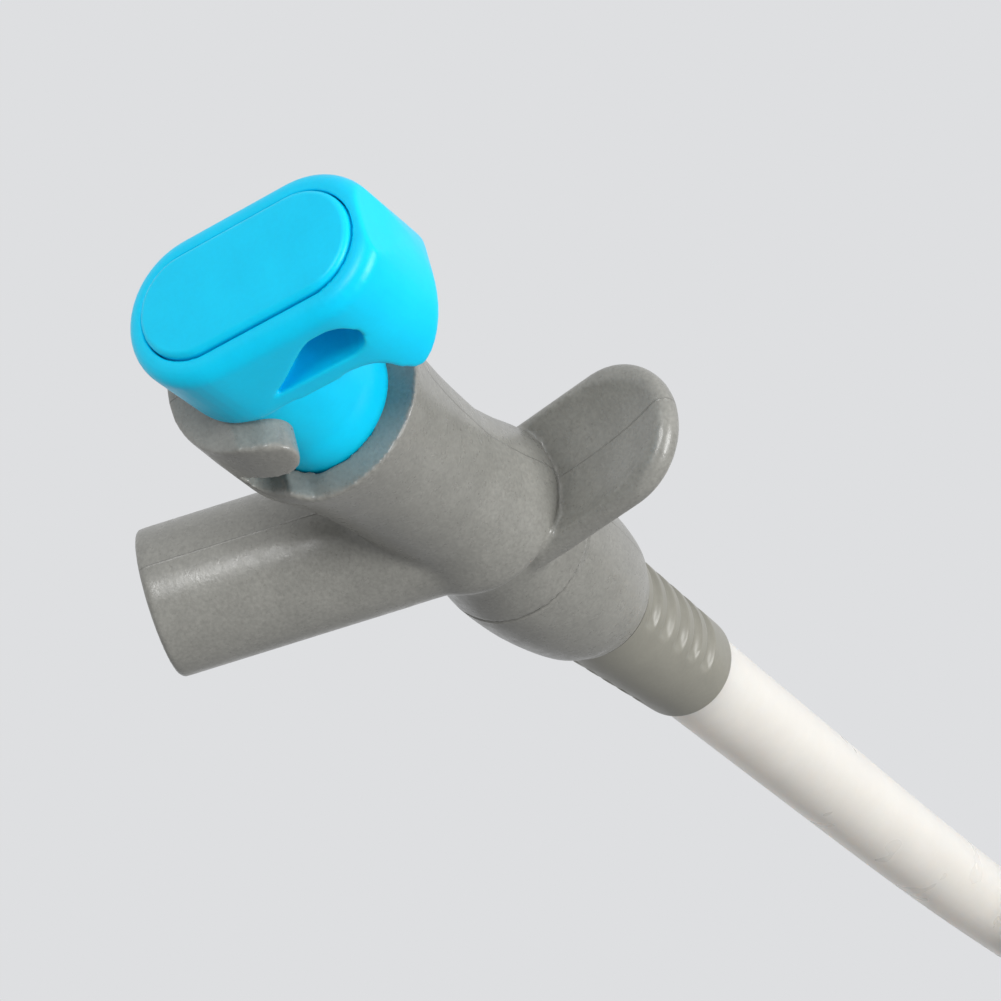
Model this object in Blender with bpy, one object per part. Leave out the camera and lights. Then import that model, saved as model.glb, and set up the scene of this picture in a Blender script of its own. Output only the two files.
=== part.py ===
"""Push-button drink valve on its hose, as fitted to a hydration bladder.

The valve lies on its side. +X runs along the barrel towards the thumb button, +Y points to the side the
spout leaves on, and +Z is up. The valve's own frame has its origin on the barrel's axis, in the plane of
the barrel's low rim, and the part's origin is under the middle of the valve, on the surface it lies on.
"""

from math import atan2, cos, pi, radians, sin, sqrt

import bmesh
import bpy
from mathutils import Matrix, Vector

MM = 0.001
GAP = 0.3 * MM  # left between pieces that touch
SLIDE_GAP = 0.2 * MM  # left round what slides in the barrel

# Barrel, measured from its low rim down to the seam where the inlet cap starts
BARREL_LENGTH = 33.3 * MM
BARREL_RIM_R = 9.1 * MM
BARREL_WAIST_R = 7.0 * MM
BARREL_SEAM_R = 7.75 * MM
BORE_R = 6.55 * MM
CHAMBER_R = 5.4 * MM
SHOULDER_R = 7.9 * MM
SHOULDER_OFFSET = 0.45 * MM
SHOULDER_DEPTH = 27.0 * MM
SHOULDER_ROUND = 1.8 * MM
SHOULDER_TOP = 4.0 * MM
SHOULDER_TOP_R = 7.5 * MM

# Collar, the raised half of the rim with its two wave-shaped ends
COLLAR_HEIGHT = 10.2 * MM
COLLAR_END_HEIGHT = 8.9 * MM
NOSE_R = 2.4 * MM
NOSE_HEIGHT = 7.6 * MM
NOSE_OFFSET = 2.0 * MM
TROUGH_R = 1.8 * MM
TROUGH_HEIGHT = 3.2 * MM
TROUGH_OFFSET = 4.8 * MM

# Spout
SPOUT_R = 6.8 * MM
SPOUT_BORE_R = 5.2 * MM
SPOUT_LENGTH = 28.3 * MM  # from the barrel's axis to the end face
SPOUT_DEPTH = 24.9 * MM  # where the two axes meet, below the low rim
SPOUT_SWEEP = radians(17.9)  # towards the button
SPOUT_EDGE = 0.35 * MM

# Finger paddle
PADDLE_LENGTH = 21.8 * MM
PADDLE_HALF_WIDTH = 6.8 * MM
PADDLE_THICKNESS = 2.8 * MM
PADDLE_DEPTH = 29.0 * MM
PADDLE_SWEEP = radians(13.0)
PADDLE_DISH = 1.3 * MM
PADDLE_EDGE = 0.9 * MM

# Valve seat and its gasket, held between the body's step and the inlet cap
SEAT_STEP_DEPTH = 29.0 * MM
SEAT_POCKET_R = 6.1 * MM
SEAT_THICKNESS = 1.5 * MM
SEAT_HOLE_R = 3.1 * MM
SEAT_LIP_R = 3.9 * MM
SEAT_LIP_HEIGHT = 0.6 * MM
GASKET_THICKNESS = 0.8 * MM
GASKET_WIDTH = 1.2 * MM

# Inlet cap with its hose barb
CAP_LENGTH = 15.7 * MM  # from the seam to the end of the dome
CAP_SHOULDER_LENGTH = 7.0 * MM
CAP_END_R = 6.1 * MM
CAP_DOME_TURN = radians(72)
CAP_DOME_STEPS = 6
CAP_CHAMBER_R = 5.1 * MM
CAP_CHAMBER_DEPTH = 45.6 * MM
BARB_LENGTH = 15.0 * MM
BARB_R = 3.0 * MM
BARB_RIDGE = 0.35 * MM
BARB_BORE_R = 2.0 * MM
BARB_RIDGES = 3
BARB_FOOT_R = 2.5 * MM

# Hose sleeve
SLEEVE_LENGTH = 20.1 * MM
SLEEVE_R = 5.9 * MM
SLEEVE_END_R = 5.3 * MM
SLEEVE_RIBS = 5
SLEEVE_RIB_DEPTH = 0.45 * MM
SLEEVE_RIB_PITCH = 3.2 * MM
SLEEVE_RIB_START = 1.2 * MM  # from the cap
SLEEVE_ROUND = 0.4 * MM
SLEEVE_FLAT = 5.4 * MM  # half height of the smooth panels on top and underneath

# Hose
HOSE_R = 4.75 * MM
HOSE_WALL_GAP = 0.12 * MM  # between the hose and the barb inside it
HOSE_STEP = 2 * (2 * HOSE_R)  # from point to point along the tube
HOSE_ROUTE = (  # chosen points of the hose's centre line in mm, from the sleeve to the coil
    (-44.7, -3.78, 9.1),
    (-50.0, -3.62, 9.05),
    (-58.0, -3.33, 8.93),
    (-68.0, -2.98, 8.77),
    (-80.0, -2.56, 8.58),
    (-94.0, -2.07, 8.35),
    (-108.0, -1.58, 8.05),
    (-122.0, -1.09, 7.6),
    (-136.0, -0.6, 6.95),
    (-150.0, -0.11, 6.1),
    (-165.0, 0.4, 5.2),
    (-180.5, 0.97, 4.75),
)

# Coil: its turns lie on each other, and the last one leaves room for the plug
COIL_R = 46.0 * MM  # to the middle of the hose
COIL_CENTRE = (-182.1 * MM, -45.0 * MM)
COIL_TURNS = 2.55
COIL_START = radians(88.0)  # where the hose joins it, round from +X
COIL_ROUND = 3.5 * MM

# Quick-connect plug on the hose's far end
PLUG_R = 5.0 * MM
PLUG_FLANGE_R = 6.6 * MM
PLUG_FLANGE_LENGTH = 2.4 * MM
PLUG_LENGTH = 27.0 * MM
PLUG_TAIL_LENGTH = 5.0 * MM
PLUG_NECK_END = 16.7 * MM
PLUG_GROOVE = 22.7 * MM
PLUG_STEP = 0.4 * MM
PLUG_NOSE_R = 4.2 * MM
PLUG_NECK_R = 3.7 * MM
PLUG_GROOVE_R = 3.3 * MM
PLUG_BORE_R = 2.2 * MM
PLUG_TAIL_R = 5.9 * MM
PLUG_RING_R = 0.95 * MM

# Thumb button
HEAD_TOP = 18.9 * MM
HEAD_HALF_WIDTH = 6.4 * MM
HEAD_SPOUT_END = 6.2 * MM
HEAD_PADDLE_END = 16.2 * MM
HEAD_EDGE = 1.6 * MM
HEAD_BAR_UNDER = 10.3 * MM
HEAD_BAR_TOP = 12.1 * MM
LOBE_BOTTOM = 6.0 * MM
HOLE_TOP = 16.2 * MM
HOLE_FAR_END = 10.9 * MM
POST_INSET = 0.45 * MM  # how much slimmer than the bore the post is
BALL_CENTRE = 1.6 * MM
PISTON_DEPTH = 5.0 * MM  # where the button's own skirt ends

# Pad on top of the head
PAD_LENGTH = 18.9 * MM
PAD_HALF_WIDTH = 4.55 * MM
PAD_RISE = 0.5 * MM
PAD_DEPTH = 1.6 * MM
PAD_EDGE = 0.5 * MM
PAD_GAP = 0.15 * MM

# Piston, stem and poppet
PISTON_THICKNESS = 3.8 * MM
PISTON_GROOVE = 1.5 * MM
RING_R = 0.6 * MM
STEM_R = 1.5 * MM
STEM_SOCKET_DEPTH = 9.0 * MM
POPPET_R = 4.4 * MM
POPPET_THICKNESS = 1.6 * MM
WASHER_R = 4.2 * MM
WASHER_THICKNESS = 0.9 * MM
NUT_R = 2.3 * MM
NUT_THICKNESS = 1.2 * MM
NUT_GAP = 0.15 * MM
BUTTON_TRAVEL = 3.0 * MM
PISTON_SPARE = 0.5 * MM  # left below the pressed piston

# Return spring
SPRING_R = 3.5 * MM
SPRING_WIRE_R = 0.3 * MM
SPRING_TURNS = 4.5
SPRING_SEAT_THICKNESS = 0.9 * MM

ROUND_STEPS = 40
FINE_STEPS = 28
SMALL_STEPS = 20
CURVE_PARTS = 20  # between two chosen points of a smooth curve
OVERCUT = 1.0 * MM  # how far a cutter reaches past what it cuts
SHARP = radians(40)

# Depths that follow from the sizes above, all measured along the barrel from its low rim
SEAT_TOP = -(SEAT_STEP_DEPTH + GAP)
SEAT_UNDER = SEAT_TOP - SEAT_THICKNESS
LIP_UNDER = SEAT_UNDER - SEAT_LIP_HEIGHT
GASKET_TOP = SEAT_UNDER - GAP
GASKET_UNDER = GASKET_TOP - GASKET_THICKNESS
CAP_RIM = GASKET_UNDER - GAP
SEAM_UNDER = -(BARREL_LENGTH + GAP)
CAP_END = -(BARREL_LENGTH + CAP_LENGTH)
SLEEVE_TOP = CAP_END - GAP
SLEEVE_END = SLEEVE_TOP - SLEEVE_LENGTH
WASHER_TOP = LIP_UNDER - GAP
WASHER_UNDER = WASHER_TOP - WASHER_THICKNESS
POPPET_TOP = WASHER_UNDER - GAP
POPPET_UNDER = POPPET_TOP - POPPET_THICKNESS
NUT_TOP = POPPET_UNDER - GAP
NUT_UNDER = NUT_TOP - NUT_THICKNESS
SPRING_SEAT_TOP = -CAP_CHAMBER_DEPTH + GAP + SPRING_SEAT_THICKNESS
POST_R = BORE_R - POST_INSET
PISTON_TOP = -(PISTON_DEPTH + GAP)
PISTON_UNDER = PISTON_TOP - PISTON_THICKNESS
PISTON_BORE_END = PISTON_UNDER - BUTTON_TRAVEL - PISTON_SPARE
SPOUT_DIRECTION = Vector((sin(SPOUT_SWEEP), cos(SPOUT_SWEEP), 0))
PADDLE_DIRECTION = Vector((sin(PADDLE_SWEEP), -cos(PADDLE_SWEEP), 0))

# The part's origin: under the middle of the valve's box, on the surface
SPOUT_REACH = SPOUT_LENGTH * cos(SPOUT_SWEEP) + (SPOUT_R - SPOUT_EDGE) * sin(SPOUT_SWEEP)
PADDLE_REACH = PADDLE_LENGTH * cos(PADDLE_SWEEP) + (PADDLE_THICKNESS / 2 - PADDLE_EDGE) * sin(PADDLE_SWEEP)
VALVE_FRAME = Vector(
    (
        -(HEAD_TOP + PAD_RISE + SLEEVE_END) / 2,
        -(SPOUT_REACH - PADDLE_REACH) / 2,
        BARREL_RIM_R,
    )
)


def material(name, colour, roughness, metallic=0.0):
    """A plain finish: sRGB colour as hex, roughness and metallic value."""
    channels = [int(colour[i : i + 2], 16) / 255 for i in (0, 2, 4)]
    linear = [c / 12.92 if c <= 0.04045 else ((c + 0.055) / 1.055) ** 2.4 for c in channels]
    made = bpy.data.materials.new(name)
    made.use_nodes = True
    shader = made.node_tree.nodes["Principled BSDF"]
    shader.inputs["Base Color"].default_value = (*linear, 1)
    shader.inputs["Roughness"].default_value = roughness
    shader.inputs["Metallic"].default_value = metallic
    made.diffuse_color = (*linear, 1)
    return made


def keep(name, bm, parent, finish=None):
    """Turn a bmesh into a named object under its parent, shaded smooth but for its sharp edges."""
    bmesh.ops.recalc_face_normals(bm, faces=bm.faces[:])
    if bm.calc_volume(signed=True) < 0:
        bmesh.ops.reverse_faces(bm, faces=bm.faces[:])
    mesh = bpy.data.meshes.new(name)
    bm.to_mesh(mesh)
    bm.free()
    mesh.shade_smooth()
    mesh.set_sharp_from_angle(angle=radians(32))
    made = bpy.data.objects.new(name, mesh)
    bpy.context.scene.collection.objects.link(made)
    made.parent = parent
    if finish:
        mesh.materials.append(finish)
    return made


def empty(name, place, parent=None):
    """An empty that holds a group of pieces."""
    made = bpy.data.objects.new(name, None)
    made.location = place
    made.parent = parent
    bpy.context.scene.collection.objects.link(made)
    return made


def turned(profile, closed=False, steps=ROUND_STEPS):
    """A bmesh turned about the X axis from (x, radius) points; a closed profile makes a ring."""
    bm = bmesh.new()
    verts = [bm.verts.new((x, r, 0)) for x, r in profile]
    edges = [bm.edges.new(pair) for pair in zip(verts, verts[1:])]
    if closed:
        edges.append(bm.edges.new((verts[-1], verts[0])))
    bmesh.ops.spin(
        bm,
        geom=verts + edges,
        cent=(0, 0, 0),
        axis=(1, 0, 0),
        angle=2 * pi,
        steps=steps,
        use_merge=True,
    )
    bmesh.ops.remove_doubles(bm, verts=bm.verts[:], dist=1e-7)
    return bm


def ring_profile(x_from, x_to, r_in, r_out):
    """The four corners of a plain ring's section."""
    return [(x_from, r_in), (x_from, r_out), (x_to, r_out), (x_to, r_in)]


def round_section(x, r, radius, steps=8):
    """The round section of a sealing ring."""
    return [
        (x + radius * cos(2 * pi * i / steps), r + radius * sin(2 * pi * i / steps)) for i in range(steps)
    ]


def arc(centre, radius, start, end, steps):
    """Points of an arc, angles in degrees from the first axis to the second."""
    return [
        (
            centre[0] + radius * cos(radians(start + (end - start) * i / steps)),
            centre[1] + radius * sin(radians(start + (end - start) * i / steps)),
        )
        for i in range(steps + 1)
    ]


def prism(outline, low, high, axis="Z"):
    """A bmesh of an outline pushed from low to high along Z, or along X with its points as (y, z)."""
    bm = bmesh.new()
    if axis == "Z":
        verts = [bm.verts.new((a, b, low)) for a, b in outline]
        step = Vector((0, 0, high - low))
    else:
        verts = [bm.verts.new((low, a, b)) for a, b in outline]
        step = Vector((high - low, 0, 0))
    face = bm.faces.new(verts)
    pushed = bmesh.ops.extrude_face_region(bm, geom=[face])
    moved = [v for v in pushed["geom"] if isinstance(v, bmesh.types.BMVert)]
    bmesh.ops.translate(bm, verts=moved, vec=step)
    return bm


def soften(bm, width, segments=2, chosen=None):
    """Bevel the chosen edges, or all that turn sharply."""
    edges = [e for e in bm.edges if e.calc_face_angle(0) > SHARP] if chosen is None else chosen
    bmesh.ops.bevel(
        bm,
        geom=edges,
        offset=width,
        offset_type="OFFSET",
        segments=segments,
        profile=0.5,
        affect="EDGES",
        clamp_overlap=True,
        material=-1,
    )


def stadium(half_width, end_a, end_b, steps=10):
    """A long round-ended outline in (y, z), from y = end_a down to y = -end_b."""
    return arc((end_a - half_width, 0), half_width, -90, 90, steps) + arc(
        (half_width - end_b, 0), half_width, 90, 270, steps
    )


def combine(base, tools, operation):
    """Apply a Boolean of each tool to the base object, and drop the tools."""
    for tool in tools:
        tool.hide_render = True
        tool.display_type = "WIRE"
        step = base.modifiers.new(tool.name, "BOOLEAN")
        step.operation = operation
        step.solver = "EXACT"
        step.object = tool
    graph = bpy.context.evaluated_depsgraph_get()
    made = bpy.data.meshes.new_from_object(base.evaluated_get(graph))
    base.modifiers.clear()
    base.data = made
    for tool in tools:
        bpy.data.objects.remove(tool)
    return base


def along(direction, place):
    """The matrix that lays the X axis along a direction in the mirror plane, with Z kept."""
    side = Vector((0, 0, 1)).cross(direction)
    turn = Matrix((direction, side, Vector((0, 0, 1)))).transposed().to_4x4()
    return Matrix.Translation(place) @ turn


def smooth_points(points, step):
    """Points a step apart on a smooth curve through the given ones."""
    knots = [Vector(p) for p in points]
    knots = [2 * knots[0] - knots[1], *knots, 2 * knots[-1] - knots[-2]]
    fine = [knots[1]]
    for a, b, c, d in zip(knots, knots[1:], knots[2:], knots[3:]):
        for i in range(1, CURVE_PARTS + 1):
            t = i / CURVE_PARTS
            bend = (2 * a - 5 * b + 4 * c - d) * t**2 + (3 * b - a - 3 * c + d) * t**3
            fine.append(0.5 * (2 * b + (c - a) * t + bend))
    lengths = [0.0]
    for a, b in zip(fine, fine[1:]):
        lengths.append(lengths[-1] + (b - a).length)
    count = max(2, round(lengths[-1] / step))
    spaced, at = [], 0
    for i in range(count + 1):
        goal = lengths[-1] * i / count
        while at < len(lengths) - 2 and lengths[at + 1] < goal:
            at += 1
        share = (goal - lengths[at]) / (lengths[at + 1] - lengths[at])
        spaced.append(fine[at].lerp(fine[at + 1], share))
    return spaced


def tube(name, points, radius, parent, finish, resolution=2):
    """A solid rod along a line of points: a curve with a bevel depth and filled caps."""
    curve = bpy.data.curves.new(name, "CURVE")
    curve.dimensions = "3D"
    curve.bevel_depth = radius
    curve.bevel_resolution = resolution
    curve.use_fill_caps = True
    line = curve.splines.new("POLY")
    line.points.add(len(points) - 1)
    for spot, point in zip(line.points, points):
        spot.co = (*point, 1)
    curve.materials.append(finish)
    made = bpy.data.objects.new(name, curve)
    made.parent = parent
    bpy.context.scene.collection.objects.link(made)
    return made


def collar_cut():
    """What is cut away above the low rim, seen from the side as (x, y): it leaves two wave crests."""
    far = BARREL_RIM_R + OVERCUT
    above = COLLAR_HEIGHT + 2 * OVERCUT
    low_rim = [(0, -far), (0.1 * MM, 0), (0.3 * MM, 2.5 * MM)]
    trough = arc((TROUGH_HEIGHT, TROUGH_OFFSET), TROUGH_R, 215, 5, 8)
    nose = arc((NOSE_HEIGHT, NOSE_OFFSET), NOSE_R, 175, 350, 9)
    crest = [(COLLAR_HEIGHT, TROUGH_OFFSET), (COLLAR_END_HEIGHT, far)]
    return low_rim + trough + nose + crest + [(above, far), (above, -far)]


def barrel_outside():
    """The barrel's outer wall, from the seam up to above the collar."""
    return [
        (-BARREL_LENGTH, 0),
        (-BARREL_LENGTH, BARREL_SEAM_R),
        (-0.92 * BARREL_LENGTH, (BARREL_SEAM_R + BARREL_WAIST_R) / 2),
        (-0.82 * BARREL_LENGTH, BARREL_WAIST_R),
        (-0.6 * BARREL_LENGTH, BARREL_WAIST_R + 0.2 * MM),
        (-0.3 * BARREL_LENGTH, BARREL_WAIST_R + 0.5 * MM),
        (-0.15 * BARREL_LENGTH, BARREL_WAIST_R + 0.95 * MM),
        (0, BARREL_RIM_R),
        (COLLAR_HEIGHT + OVERCUT / 2, BARREL_RIM_R),
        (COLLAR_HEIGHT + OVERCUT / 2, 0),
    ]


def paddle_blade(parent):
    """A tongue as wide as the barrel, swept towards the button and dished on that side."""
    round_centre = PADDLE_LENGTH - PADDLE_HALF_WIDTH
    tip = arc((round_centre, 0), PADDLE_HALF_WIDTH, -90, 90, 12)
    outline = [(0, -PADDLE_HALF_WIDTH), *tip, (0, PADDLE_HALF_WIDTH)]
    bm = prism(outline, -PADDLE_THICKNESS / 2, PADDLE_THICKNESS / 2)
    soften(bm, PADDLE_EDGE)
    blade = keep("blade", bm, parent)
    dish = bmesh.new()
    bmesh.ops.create_uvsphere(dish, u_segments=28, v_segments=14, radius=1)
    depth = 2.4 * PADDLE_DISH
    spread = sqrt(1 - ((depth - PADDLE_DISH) / depth) ** 2)
    half_length = (PADDLE_LENGTH - 4 * MM) / 2
    half_width = PADDLE_HALF_WIDTH - 1.4 * MM
    bmesh.ops.scale(dish, verts=dish.verts[:], vec=(half_length / spread, half_width / spread, depth))
    middle = (PADDLE_LENGTH - 1.2 * MM - half_length, 0, -PADDLE_THICKNESS / 2 - depth + PADDLE_DISH)
    bmesh.ops.translate(dish, verts=dish.verts[:], vec=middle)
    combine(blade, [keep("dish", dish, parent)], "DIFFERENCE")
    lie = Matrix((PADDLE_DIRECTION, (0, 0, 1), PADDLE_DIRECTION.cross(Vector((0, 0, 1))))).transposed()
    blade.data.transform(Matrix.Translation((-PADDLE_DEPTH, 0, 0)) @ lie.to_4x4())
    return blade


def valve_body(parent, finish):
    """Barrel, wave-edged collar, side spout and finger paddle, moulded in one."""
    body = keep("valve_body", turned(barrel_outside()), parent, finish)

    edge_middle = (-SHOULDER_DEPTH + SHOULDER_ROUND, SHOULDER_R - SHOULDER_ROUND)
    shoulder = turned(
        [
            (-SHOULDER_TOP, 0),
            (-SHOULDER_TOP, SHOULDER_TOP_R),
            *arc(edge_middle, SHOULDER_ROUND, 90, 180, 5),
            (-SHOULDER_DEPTH, 0),
        ]
    )
    bmesh.ops.translate(shoulder, verts=shoulder.verts[:], vec=(0, -SHOULDER_OFFSET, 0))

    spout_end = arc((SPOUT_LENGTH - SPOUT_EDGE, SPOUT_R - SPOUT_EDGE), SPOUT_EDGE, 90, 0, 3)
    spout = turned([(0, 0), (0, SPOUT_R), *spout_end, (SPOUT_LENGTH, 0)])
    spout.transform(along(SPOUT_DIRECTION, (-SPOUT_DEPTH, 0, 0)))
    added = [
        keep("shoulder", shoulder, parent),
        keep("spout", spout, parent),
        paddle_blade(parent),
    ]
    combine(body, added, "UNION")

    over = COLLAR_HEIGHT + OVERCUT
    bore = turned(
        [
            (over, 0),
            (over, BORE_R),
            (PISTON_BORE_END, BORE_R),
            (PISTON_BORE_END, CHAMBER_R),
            (-SEAT_STEP_DEPTH, CHAMBER_R),
            (-SEAT_STEP_DEPTH, SEAT_POCKET_R),
            (-BARREL_LENGTH - OVERCUT, SEAT_POCKET_R),
            (-BARREL_LENGTH - OVERCUT, 0),
        ]
    )
    half_step = Matrix.Rotation(pi / ROUND_STEPS, 4, "X")  # keeps the cutters' edges off those they cut
    bore.transform(half_step)
    mouth = SPOUT_LENGTH + OVERCUT
    spout_bore = turned([(0, 0), (0, SPOUT_BORE_R), (mouth, SPOUT_BORE_R), (mouth, 0)])
    spout_bore.transform(along(SPOUT_DIRECTION, (-SPOUT_DEPTH, 0, 0)) @ half_step)
    wide = BARREL_RIM_R + OVERCUT
    wave = prism(collar_cut(), -wide, wide)
    cut = [keep("bore", bore, parent), keep("spout_bore", spout_bore, parent), keep("wave", wave, parent)]
    return combine(body, cut, "DIFFERENCE")


def valve_seat(parent, finish):
    """A disc with a raised lip on its inlet side."""
    r = SEAT_POCKET_R - GAP
    profile = [
        (SEAT_TOP, SEAT_HOLE_R),
        (SEAT_TOP, r),
        (SEAT_UNDER, r),
        (SEAT_UNDER, SEAT_LIP_R),
        (LIP_UNDER, SEAT_LIP_R - 0.25 * MM),
        (LIP_UNDER, SEAT_HOLE_R),
    ]
    return keep("valve_seat", turned(profile, closed=True, steps=FINE_STEPS), parent, finish)


def seat_gasket(parent, finish):
    """A flat ring pressed between the seat and the inlet cap."""
    r = SEAT_POCKET_R - GAP
    profile = ring_profile(GASKET_TOP, GASKET_UNDER, r - GASKET_WIDTH, r)
    return keep("seat_gasket", turned(profile, closed=True, steps=FINE_STEPS), parent, finish)


def barb_outside():
    """The barb's outer wall from the cap's end to its tip, with saw-tooth ridges."""
    tooth = BARB_LENGTH / (BARB_RIDGES + 1)
    points = [(CAP_END, BARB_FOOT_R)]
    for i in range(BARB_RIDGES):
        top = CAP_END - tooth * (i + 1)
        points += [(top, BARB_R - BARB_RIDGE), (top, BARB_R), (top - 0.8 * tooth, BARB_FOOT_R)]
    return points + [(CAP_END - BARB_LENGTH, BARB_R - 2 * BARB_RIDGE)]


def inlet_cap(parent, finish):
    """The round cap below the seam: a spigot in the body, the spring's chamber and the hose barb."""
    shoulder = -(BARREL_LENGTH + CAP_SHOULDER_LENGTH)
    dome = []
    for i in range(CAP_DOME_STEPS + 1):
        turn = CAP_DOME_TURN * i / CAP_DOME_STEPS
        share = sin(turn) / sin(CAP_DOME_TURN)
        drop = (1 - cos(turn)) / (1 - cos(CAP_DOME_TURN))
        r = BARREL_SEAM_R + (CAP_END_R - BARREL_SEAM_R) * drop
        dome.append((shoulder + (CAP_END - shoulder) * share, r))
    spigot_r = SEAT_POCKET_R - GAP
    profile = [
        (CAP_RIM, CAP_CHAMBER_R),
        (CAP_RIM, spigot_r),
        (SEAM_UNDER, spigot_r),
        (SEAM_UNDER, BARREL_SEAM_R),
        *dome,
        *barb_outside(),
        (CAP_END - BARB_LENGTH, BARB_BORE_R),
        (-CAP_CHAMBER_DEPTH, BARB_BORE_R),
        (-CAP_CHAMBER_DEPTH, CAP_CHAMBER_R),
    ]
    return keep("inlet_cap", turned(profile, closed=True), parent, finish)


def sleeve_radius(share):
    """The sleeve's outer radius at a share of its length, down from the cap."""
    return SLEEVE_R + (SLEEVE_END_R - SLEEVE_R) * share


def hose_sleeve(parent, finish):
    """The sleeve over the hose's end: ribbed on both sides, smooth on top and underneath."""
    inside = HOSE_R + GAP
    start = [(SLEEVE_TOP, inside), (SLEEVE_TOP, SLEEVE_R)]
    ribs = []
    for i in range(SLEEVE_RIBS):
        top = SLEEVE_TOP - SLEEVE_RIB_START - SLEEVE_RIB_PITCH * i
        r = sleeve_radius((SLEEVE_TOP - top) / SLEEVE_LENGTH)
        ribs += [
            (top, r),
            (top - 0.12 * SLEEVE_RIB_PITCH, r - SLEEVE_RIB_DEPTH),
            (top - 0.42 * SLEEVE_RIB_PITCH, r - SLEEVE_RIB_DEPTH),
            (top - 0.6 * SLEEVE_RIB_PITCH, r - 0.02 * MM),
        ]
    closing = [
        (SLEEVE_END + SLEEVE_ROUND, SLEEVE_END_R),
        (SLEEVE_END, SLEEVE_END_R - SLEEVE_ROUND),
        (SLEEVE_END, inside),
    ]
    ribbed = turned(start + ribs + closing, closed=True, steps=FINE_STEPS)
    sleeve = keep("hose_sleeve", ribbed, parent, finish)
    panel = keep("panel", turned(start + closing, closed=True, steps=FINE_STEPS), parent)
    half_width = sqrt(SLEEVE_R**2 - SLEEVE_FLAT**2) + 1.2 * MM
    strip = prism(
        [
            (SLEEVE_TOP + OVERCUT, -half_width),
            (SLEEVE_TOP + OVERCUT, half_width),
            (SLEEVE_END - OVERCUT, half_width),
            (SLEEVE_END - OVERCUT, -half_width),
        ],
        -2 * SLEEVE_R,
        2 * SLEEVE_R,
    )
    combine(panel, [keep("strip", strip, parent)], "INTERSECT")
    return combine(sleeve, [panel], "UNION")


def hose_inlet_end(parent, finish):
    """The hose's own end, pushed over the barb inside the sleeve."""
    profile = ring_profile(SLEEVE_TOP, SLEEVE_END, BARB_R + HOSE_WALL_GAP, HOSE_R)
    return keep("hose_inlet_end", turned(profile, closed=True, steps=FINE_STEPS), parent, finish)


def spring_seat(parent, finish):
    """A flanged ring on the chamber's floor that centres the spring."""
    floor = -CAP_CHAMBER_DEPTH + GAP
    guide_r = SPRING_R - SPRING_WIRE_R - GAP
    hole_r = BARB_BORE_R + 0.2 * MM
    profile = [
        (floor, hole_r),
        (floor, CAP_CHAMBER_R - GAP),
        (SPRING_SEAT_TOP, CAP_CHAMBER_R - GAP),
        (SPRING_SEAT_TOP, guide_r),
        (SPRING_SEAT_TOP + 0.7 * MM, guide_r),
        (SPRING_SEAT_TOP + 0.7 * MM, hole_r),
    ]
    return keep("spring_seat", turned(profile, closed=True, steps=FINE_STEPS), parent, finish)


def return_spring(parent, finish):
    """A coil spring between the poppet and the spring seat."""
    low = SPRING_SEAT_TOP + GAP + SPRING_WIRE_R
    high = POPPET_UNDER - GAP - SPRING_WIRE_R
    count = round(14 * SPRING_TURNS)
    points = []
    for i in range(count + 1):
        turn = 2 * pi * SPRING_TURNS * i / count
        points.append((low + (high - low) * i / count, SPRING_R * cos(turn), SPRING_R * sin(turn)))
    return tube("return_spring", points, SPRING_WIRE_R, parent, finish)


def button_profile():
    """The head from the side as (x, y): block, lobe on the paddle's side, and the bar under the hole."""
    end = -HEAD_PADDLE_END
    return [
        (HEAD_TOP + OVERCUT, HEAD_SPOUT_END + OVERCUT),
        (HEAD_TOP + OVERCUT, end - OVERCUT),
        (LOBE_BOTTOM + 4.6 * MM, end - OVERCUT),
        (LOBE_BOTTOM + 3.2 * MM, end + 0.05 * MM),
        (LOBE_BOTTOM + 1.7 * MM, end + 0.9 * MM),
        (LOBE_BOTTOM + 0.6 * MM, end + 2.2 * MM),
        (LOBE_BOTTOM, end + 3.8 * MM),
        (LOBE_BOTTOM + 0.2 * MM, end + 4.8 * MM),
        (LOBE_BOTTOM + 1.4 * MM, end + 5.5 * MM),
        (LOBE_BOTTOM + 3.0 * MM, end + 6.0 * MM),
        (HEAD_BAR_UNDER - 0.3 * MM, end + 7.0 * MM),
        (HEAD_BAR_UNDER, end + 8.2 * MM),
        (HEAD_BAR_UNDER, HEAD_SPOUT_END + OVERCUT),
    ]


def hole_profile():
    """The finger hole under the head, as (x, y)."""
    far = -HOLE_FAR_END
    return [
        (HEAD_BAR_TOP, -2.2 * MM),
        (HEAD_BAR_TOP, far + 1.6 * MM),
        (HEAD_BAR_TOP + 0.6 * MM, far + 0.5 * MM),
        (HEAD_BAR_TOP + 1.7 * MM, far),
        (HOLE_TOP - 1.3 * MM, far + 0.2 * MM),
        (HOLE_TOP - 0.3 * MM, far + 1.1 * MM),
        (HOLE_TOP, far + 2.3 * MM),
        (HOLE_TOP - 0.2 * MM, far + 3.6 * MM),
        (HOLE_TOP - 1.2 * MM, far + 5.2 * MM),
        (HOLE_TOP - 2.6 * MM, far + 6.9 * MM),
    ]


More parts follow.
